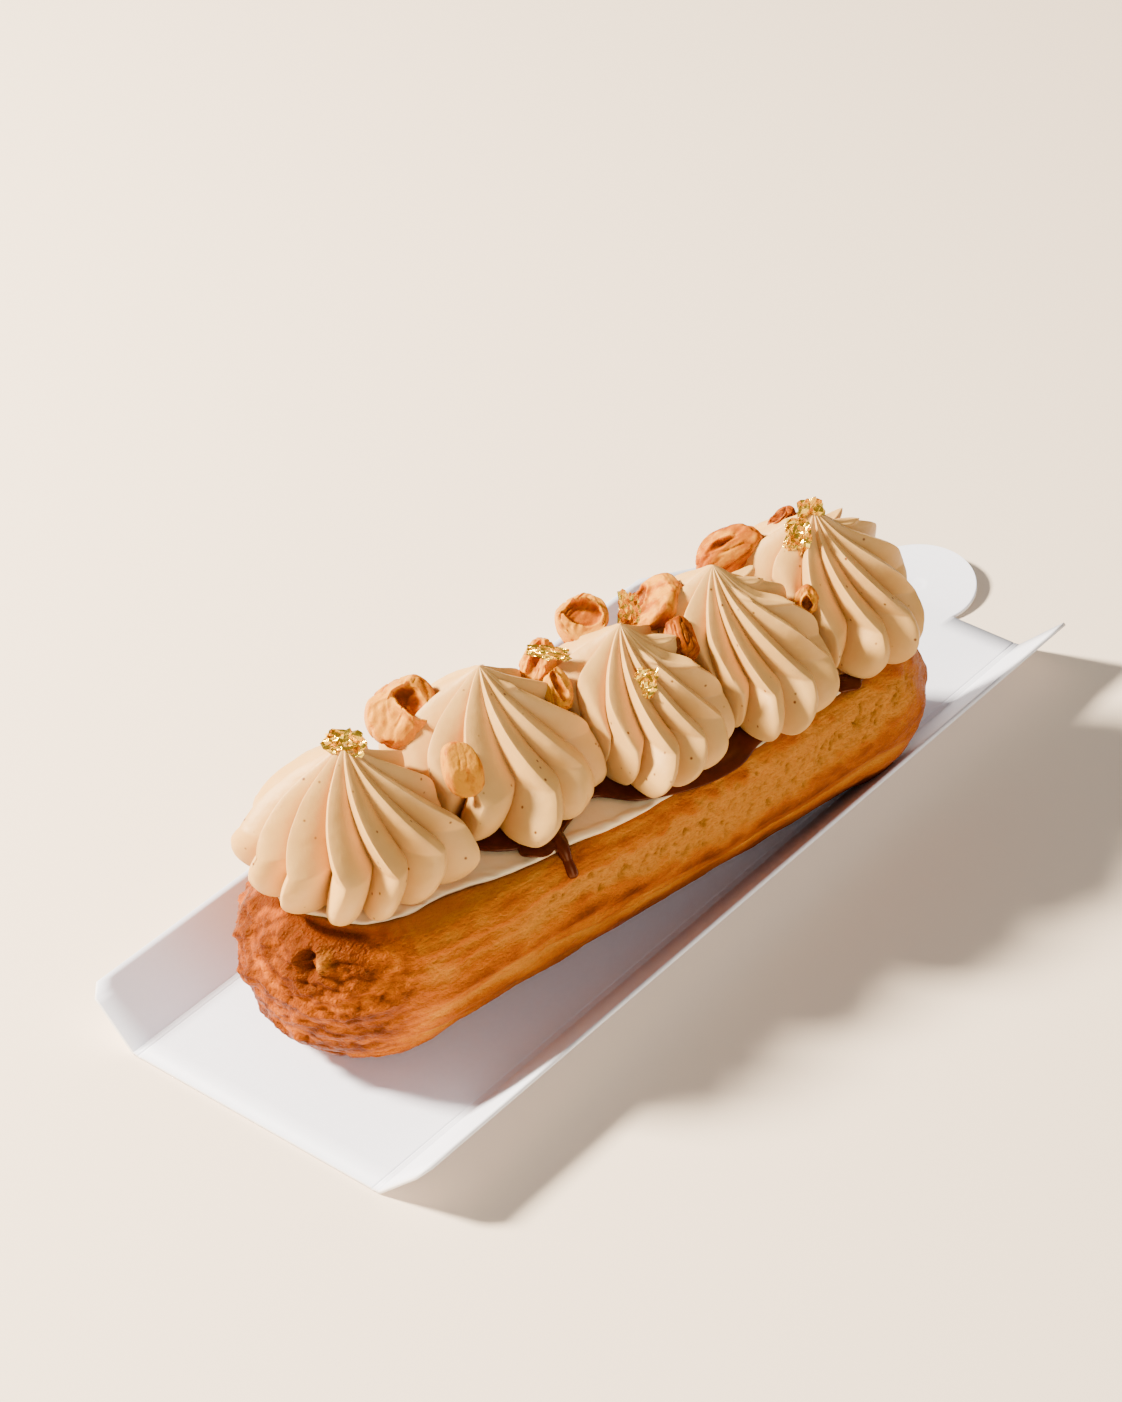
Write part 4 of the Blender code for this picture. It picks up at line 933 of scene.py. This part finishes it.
def rosette_surface(index):
    """Rings from the tip down, round which sharp fins turn into rounded lobes on their way down.

    The phase is whole at each crest and half at each groove, with the steps close together at both.
    The radius falls from the crest to the groove by a power of the distance between them, which grows
    from the tip to the foot. Each ridge has its own reach, wander and tongue.
    """
    centre = np.array(ROSETTE_CENTRES[index])
    tip = np.array(ROSETTE_TIPS[index])
    flank = smooth_path(ROSETTE_PROFILE, ROSETTE_RINGS)
    spread = flank[:, :1]
    drop = 1.0 - flank[:, 1:]
    ridges = len(RIDGE_DEGREES[index])
    crests = np.radians(np.array(RIDGE_DEGREES[index] + (RIDGE_DEGREES[index][0] + 360,), dtype=float))
    high, low = [np.append(np.stack([crests[:-1], crests[:-1] + place * np.diff(crests)], axis=1),
                           crests[-1]) for place in GROOVE_PLACES]
    step = 0.5 - 0.5 * np.cos(np.linspace(0.0, math.pi, HALF_RIDGE_STEPS, endpoint=False))
    phase = ((np.arange(2 * ridges)[:, None] + step) / 2).ravel()[None, :]
    marks = np.arange(len(high)) / 2
    angle = np.interp(phase, marks, high) * (1.0 - drop) + np.interp(phase, marks, low) * drop
    off_crest = np.abs((phase + 0.5) % 1.0 - 0.5) * 2.0
    below_widest = np.maximum(drop - HOOK_START, 0.0) / (1.0 - HOOK_START)
    own = np.random.default_rng(70 + index).uniform(-1.0, 1.0, (4, ridges))
    wander, bend, reach, tongue = [np.interp(phase, np.arange(ridges + 1), np.append(row, row[0]))
                                   for row in own]
    angle = angle + RIDGE_TWIST * (drop - WIDEST_DROP) - RIDGE_HOOK * below_widest
    angle = angle + 0.035 * np.sin(3.2 * drop + 3.0 * wander) * wander - 0.10 * bend * below_widest
    depth = np.interp(drop, *np.array(RIDGE_DEPTHS).T)
    finger = 1.0 - np.sqrt(1.0 - 0.98 * off_crest**2)
    rounding = step_up(drop, *ROUNDING_DROPS)
    shape = off_crest**FIN_POWER * (1.0 - rounding) + (0.35 * off_crest**2 + 0.65 * finger) * rounding
    flare = 0.0
    for rosette, ridge, start in TORN_RIDGES:
        if rosette == index:
            beside = beside_ridge(phase, ridge)
            lost = (1.0 - step_up(drop + 0.02 * np.sin(9.0 * phase), start - 0.012, start + 0.012)) * beside
            shape += (1.0 - shape) * 0.9 * lost
            flare += 0.13 * beside**0.5 * bell(drop - start, 0.016, 0.020)
    uneven = 1.0 + 0.03 * np.sin(2 * angle + index) + 0.025 * np.sin(5 * angle + 2.1 * index)
    radius = ROSETTE_RADII[index] * spread * (1.0 - depth * shape) * uneven * (1.0 + flare)
    sideways = np.clip(np.cos(angle - SHOULDER_WAY), 0.0, 1.0)
    radius *= 1.0 + SHOULDERS[index] * sideways * bell(drop, 0.17, 0.30)
    crest = 1.0 - off_crest**2
    feet = np.array(FOOT_REACHES[index], dtype=float)
    reached = np.interp(np.degrees(angle), feet[:, 0], feet[:, 1], period=360.0)
    radius *= 1.0 + (reached - 1.0) * step_up(drop, *FOOT_DROPS)
    radius *= 1.0 + 0.045 * reach * crest * step_up(drop, 0.25, 0.75)
    radius *= 1.0 + 0.05 * (tongue + 0.6) * crest * below_widest
    for rosette, ridge, length in LONG_TONGUES:
        if rosette == index:
            radius *= 1.0 + length * beside_ridge(phase, ridge) * step_up(drop, *TONGUE_DROPS)
    ripple = lumps(xyz(9.0 * phase, 26.0 * drop, 0.0), 9.0, 90 + index, 9)
    tear = np.maximum(ripple, 0.0) * np.clip(1.0 - off_crest * 3.5, 0.0, 1.0) * step_up(drop, 0.04, 0.15)
    radius *= 1.0 - 0.030 * tear * (1.0 - 0.75 * drop)
    lean = (1.0 - drop) ** 1.5
    points = xyz(centre[0] + (tip[0] - centre[0]) * lean + radius * np.cos(angle),
                 centre[1] + (tip[1] - centre[1]) * lean + radius * np.sin(angle),
                 ROSETTE_BASES[index] + (tip[2] - ROSETTE_BASES[index]) * (1.0 - drop))
    soft = 0.00016 * lumps(points, 0.0065, 100 + index) + 0.00005 * lumps(points, 0.0018, 110 + index, 11)
    points[..., 0] += soft * spread * np.cos(angle)
    points[..., 1] += soft * spread * np.sin(angle)
    before, beyond = CONTACT_PLANES[index:index + 2]
    points[..., 0] = press_flat(points[..., 0], before + GAP / 2, beyond - GAP / 2)
    return points


rosette_cream = cream_material("praline_cream", (0.66, 0.368, 0.104), (0.61, 0.326, 0.084), 0.75)
for index in range(len(ROSETTE_CENTRES)):
    surface = rosette_surface(index)
    upward = surface[:0:-1].reshape(-1, 3)
    around = surface.shape[1]
    top = (ROSETTE_RINGS - 2) * around
    steps = np.arange(around)
    tip_faces = np.stack([top + steps, top + (steps + 1) % around, np.full(around, len(upward))], axis=1)
    piece = make_piece(f"piped_rosette_{index + 1}", np.vstack([upward, surface[0, :1]]),
                       grid_faces(ROSETTE_RINGS - 1, around), rosette_cream,
                       caps=[range(around - 1, -1, -1)] + tip_faces.tolist())
    dress(piece, "rosette_cream", f"rosette_{index + 1}")

# The toasted hazelnuts: some nearly whole with a cracked hollow face, and broken shards between the
# rosettes. Kernels are pale where they split, golden outside, and brown where skin is left on them.
# Name, centre, half sizes, the way the split side looks and where it is split; the hollow's depth,
# reach, shift up and left, length and turn; the lip's height and direction; how broken the outside
# is and how deeply it is folded; and the toasting outside, on the split face and in the hollow
HAZELNUTS = (
    ("hazelnut_whole_1", (-0.0302, 0.0116, 0.0444), (0.0070, 0.0060, 0.0052), (-0.50, -0.45, 0.74), 0.46,
     (0.42, 0.26, 0.30, -0.28, 2.2, 55.0), (0.44, -150.0), (1.5, 0.08), (0.16, 0.04, 0.62)),
    ("hazelnut_half_2", (-0.0320, -0.0047, 0.0436), (0.0044, 0.0036, 0.0026), (0.13, 0.67, -0.73), 0.45,
     (0.35, 0.45, 0.0, 0.0, 1.0, 0.0), (0.0, 0.0), (1.6, 0.03), (0.12, 0.16, 0.70)),
    ("hazelnut_piece_3", (-0.0052, 0.0075, 0.0445), (0.0044, 0.0034, 0.0028), (-0.60, -0.30, 0.74), 0.50,
     (0.20, 0.26, 0.0, 0.1, 3.2, 0.0), (0.35, 60.0), (1.8, 0.10), (0.06, 0.02, 0.20)),
    ("hazelnut_piece_4", (-0.0079, 0.0005, 0.0442), (0.0044, 0.0026, 0.0022), (-0.20, -0.60, 0.77), 0.55,
     (0.20, 0.26, 0.0, -0.1, 3.2, 20.0), (0.30, -40.0), (1.8, 0.10), (0.10, 0.06, 0.40)),
    ("hazelnut_cup_5", (0.0053, 0.0087, 0.0476), (0.0050, 0.0046, 0.0036), (-0.35, -0.35, 0.87), 0.30,
     (0.34, 0.32, 0.06, 0.0, 2.2, 80.0), (0.60, 10.0), (1.5, 0.07), (0.06, 0.02, 0.40)),
    ("hazelnut_piece_6", (0.0157, -0.0036, 0.0447), (0.0044, 0.0030, 0.0026), (0.20, 0.40, -0.89), 0.60,
     (0.35, 0.45, 0.0, 0.0, 1.0, 0.0), (0.0, 0.0), (0.9, 0.12), (0.52, 0.35, 0.70)),
    ("hazelnut_half_7", (0.0190, 0.0057, 0.0457), (0.0056, 0.0048, 0.0038), (-0.60, 0.30, 0.74), 0.50,
     (0.26, 0.22, -0.35, 0.30, 1.8, 60.0), (0.20, -30.0), (0.9, 0.04), (0.18, 0.12, 0.66)),
    ("hazelnut_whole_8", (0.0396, 0.0102, 0.0440), (0.0062, 0.0048, 0.0042), (-0.40, 0.20, 0.89), 0.70,
     (0.14, 0.12, 0.05, -0.30, 2.8, 0.0), (0.20, 90.0), (1.5, 0.07), (0.34, 0.26, 0.62)),
    ("hazelnut_piece_9", (0.0403, -0.0075, 0.0432), (0.0026, 0.0022, 0.0020), (-0.59, -0.56, 0.59), 0.50,
     (0.30, 0.24, -0.35, -0.20, 1.5, 30.0), (0.35, 40.0), (1.2, 0.06), (0.22, 0.10, 0.70)),
    ("hazelnut_piece_10", (0.0494, 0.0075, 0.0478), (0.0030, 0.0022, 0.0016), (-0.46, 0.52, 0.72), 0.50,
     (0.35, 0.45, 0.0, 0.0, 1.0, 0.0), (0.0, 0.0), (1.0, 0.10), (0.66, 0.50, 0.85)),
)
NUT_RINGS = 70
NUT_AROUND = 88
BREAK_PLANES = 9
BREAK_SOFTNESS = 0.035
NUT_UNEVEN = 0.10
NUT_LUMP_SIZE = 1.6


def nut_surface(half_sizes, split, hollow, lip, broken, toasts, seed):
    """An uneven ball with flat broken faces, split across, with a hollow and a raised lip.

    Each broken face is a plane past which the ball is pressed in, with a soft edge. The hollow is a
    bowl in the split face, and the lip is a ridge along part of its edge. Toasting is 0 for pale split
    kernel and 1 for dark skin; it is darker in the hollow, in the folds and along the lip's crest.
    """
    ball, quads, caps = closed_ball(NUT_RINGS, NUT_AROUND)
    way = ball.copy()
    ball = ball * (1.0 + NUT_UNEVEN * lumps(ball, NUT_LUMP_SIZE, seed)[:, None])
    rng = np.random.default_rng(400 + seed)
    normals = rng.normal(size=(BREAK_PLANES, 3))
    normals /= np.linalg.norm(normals, axis=1, keepdims=True)
    places = 1.0 - broken[0] * rng.uniform(0.04, 0.20, BREAK_PLANES)
    length = np.linalg.norm(ball, axis=1)
    fresh = np.zeros(len(ball))
    for normal, place in zip(normals, places):
        limit = place / np.maximum(way @ normal, 0.25)
        fresh = np.maximum(fresh, step_up(length - limit, -0.01, 0.05))
        length = np.exp(-length / BREAK_SOFTNESS) + np.exp(-limit / BREAK_SOFTNESS)
        length = -BREAK_SOFTNESS * np.log(length)
    ball = way * length[:, None]
    ragged = split + 0.10 * lumps(ball, 0.9, seed + 200) + 0.05 * lumps(ball, 0.35, seed + 210)
    over = np.maximum(ball[:, 2] - ragged, 0.0)
    depth, reach, up, left, length_ratio, tilt = hollow
    turn = np.arctan2(ball[:, 1] - left, ball[:, 0] - up)
    lengthwise = np.cos(turn - math.radians(tilt)) / math.sqrt(length_ratio)
    crosswise = np.sin(turn - math.radians(tilt)) * math.sqrt(length_ratio)
    far = np.hypot(ball[:, 0] - up, ball[:, 1] - left) * np.hypot(lengthwise, crosswise) / math.sqrt(reach)
    far *= 1.0 + 0.16 * lumps(ball, 0.8, seed + 220) + 0.07 * lumps(ball, 0.3, seed + 225)
    face = np.clip(over * 8.0, 0.0, 1.0)
    inside = np.clip(1.0 - far**2, 0.0, 1.0) * np.clip(over * 4.0, 0.0, 1.0)
    window = 0.5 + 0.5 * np.cos(turn - math.radians(lip[1]))
    ridge = bell(far, 0.17, 1.08) * window**1.5 * face
    carved = ragged + 0.12 * over - depth * inside**0.6 + lip[0] * ridge
    ball[:, 2] = np.where(over > 0.0, carved, ball[:, 2])
    creases = lumps(ball * (0.35, 1.0, 1.0), 0.55, seed + 230)
    fold = np.maximum(0.22 - np.abs(creases), 0.0) / 0.22
    fine = lumps(ball * (0.5, 1.0, 1.0), 0.16, seed + 240, 11)
    chips = np.maximum(lumps(ball, 0.28, seed + 260, 11), 0.0) * fresh
    ball = ball * (1.0 - broken[1] * fold - 0.010 * fine - 0.035 * chips)[:, None]
    outside, on_face, in_hollow = toasts
    bowl_share = step_up(inside, 0.03, 0.40)
    toast = outside * (1.0 - face) + face * (on_face * (1.0 - bowl_share) + in_hollow * bowl_share)
    toast = toast - 0.12 * fresh * (1.0 - face) + 0.20 * fold * (0.4 + outside) * (1.0 - face)
    toast += 0.30 * bell(far, 0.07, 0.90) * face * (1.0 - 0.5 * window)
    toast = toast + 0.20 * lumps(ball, 0.8, seed + 250) + 0.07 * fine + 0.10 * lumps(ball, 0.3, seed + 270)
    return ball * half_sizes, quads, caps, np.clip(toast, 0.0, 1.0)


def kernel_material():
    """Toasted kernel: pale cream, golden, orange brown and dark brown skin, with an oily sheen."""
    material, shader = principled("toasted_kernel", 0.34)
    coarse, fine = grain(material, 700.0)
    toasting = mask_value(material, "toasting")
    value = weighted_sum(material, ((toasting, 1.0), (coarse, 0.20), (fine, 0.14)), -0.17)
    colour = ramp(material, value, (
        (0.02, (0.62, 0.245, 0.012)), (0.28, (0.42, 0.112, 0.003)), (0.54, (0.25, 0.048, 0.0010)),
        (0.76, (0.15, 0.024, 0.0008)), (0.95, (0.050, 0.007, 0.0004))))
    subsurface(shader, 0.18, 0.0014, (1.0, 0.4, 0.08))
    height = weighted_sum(material, ((coarse, 0.5), (fine, 0.5)))
    finish_shader(material, shader, colour, height, 0.00016, 0.6, 0.10, (1.0, 0.55, 0.06))
    return material


def turned_to(points, centre, looks):
    """Points carried to a place, their Z along the given direction and their X as upright as can be."""
    turn = np.array(Vector(looks).to_track_quat("Z", "X").to_matrix())
    return points @ turn.T + np.array(centre)


kernel = kernel_material()
for seed, (name, centre, half_sizes, looks, split, hollow, lip, broken, toasts) in enumerate(HAZELNUTS):
    nut, nut_quads, nut_caps, toast = nut_surface(half_sizes, split, hollow, lip, broken, toasts, seed)
    piece = make_piece("toasted_" + name, turned_to(nut, centre, looks), nut_quads, kernel, caps=nut_caps,
                       masks={"toasting": toast})
    dress(piece, "toasted_hazelnut", name)

# The gold leaf: torn scraps of foil, crumpled into sharp facets. They cling to the tips of the
# rosettes, two stand upright against them, and a strip and a small scrap lie over the shards.
# Node that it lies on, centre, half sizes, and the way its thin side looks
GOLD_SCRAPS = (
    ("rosette_1", (-0.0484, 0.0036, 0.0526), (0.0026, 0.0040, 0.0010), (-0.55, -0.40, 0.73)),
    ("rosette_3", (0.0022, -0.0096, 0.0462), (0.0030, 0.0022, 0.0008), (-0.64, -0.40, 0.65)),
    ("rosette_3", (0.0108, 0.0036, 0.0490), (0.0042, 0.0022, 0.0009), (-0.60, -0.78, 0.15)),
    ("rosette_5", (0.0492, 0.0006, 0.0522), (0.0036, 0.0028, 0.0010), (-0.50, -0.85, 0.15)),
    ("rosette_5", (0.0452, -0.0004, 0.0502), (0.0036, 0.0028, 0.0010), (-0.80, -0.50, 0.35)),
    ("rosette_2", (-0.0056, 0.0050, 0.0481), (0.0014, 0.0042, 0.0005), (-0.55, -0.35, 0.75)),
    ("rosette_2", (-0.0126, 0.0017, 0.0461), (0.0011, 0.0011, 0.0004), (-0.45, -0.45, 0.77)),
)
LEAF_STEPS = 10
LEAF_THICKNESS = 0.00007


def leaf_surface(half_sizes, seed):
    """A closed thin sheet: a coarse grid with a torn outline, whose points are shifted to make facets."""
    steps = np.linspace(-1.0, 1.0, LEAF_STEPS)
    u, v = np.meshgrid(steps, steps, indexing="ij")
    flat = xyz(u, v, 0.0)
    rng = np.random.default_rng(500 + seed)
    edge = np.maximum(np.abs(u), np.abs(v))
    shifts = rng.uniform(-1.0, 1.0, (3, LEAF_STEPS, LEAF_STEPS))
    torn = 0.12 * lumps(flat, 0.9, seed + 320) + 0.05 * shifts[0]
    reach = 0.84 + torn * step_up(edge, 0.6, 1.0)
    across = (u * np.sqrt(1.0 - 0.30 * v**2) + 0.07 * shifts[1]) * reach
    along = (v * np.sqrt(1.0 - 0.30 * u**2) + 0.07 * shifts[2]) * reach
    height = 0.55 * lumps(flat, 1.3, seed + 310) + 0.45 * rng.uniform(-1.0, 1.0, u.shape)
    middle = xyz(across, along, height) * half_sizes
    lift = (0.0, 0.0, LEAF_THICKNESS / 2)
    points = np.vstack([(middle + lift).reshape(-1, 3), (middle - lift).reshape(-1, 3)])
    quads = grid_faces(LEAF_STEPS, LEAF_STEPS, closed=False)
    count = LEAF_STEPS**2
    numbers = np.arange(count).reshape(LEAF_STEPS, LEAF_STEPS)
    border = np.concatenate([numbers[0, :-1], numbers[:-1, -1], numbers[-1, :0:-1], numbers[:0:-1, 0]])
    after = np.roll(border, -1)
    rim = np.stack([border, border + count, after + count, after], axis=1)
    return points, np.vstack([quads[:, ::-1], quads + count, rim[:, ::-1]])


def leaf_material():
    """Gold foil: bright metal, a little duller in patches, with fine wrinkles in its bump."""
    material, shader = principled("gold_leaf", 0.20)
    coarse, fine = grain(material, 1500.0)
    colour = ramp(material, coarse, ((0.3, (0.80, 0.45, 0.030)), (0.7, (0.98, 0.64, 0.070))))
    shader.inputs["Metallic"].default_value = 1.0
    finish_shader(material, shader, colour, fine, 0.00008, 0.6)
    return material


foil = leaf_material()
for seed, (node, centre, half_sizes, looks) in enumerate(GOLD_SCRAPS):
    leaf, leaf_quads = leaf_surface(half_sizes, seed)
    piece = make_piece(f"gold_leaf_{seed + 1}", turned_to(leaf, centre, looks), leaf_quads, foil,
                       smooth=False)
    dress(piece, "gold_leaf", node)
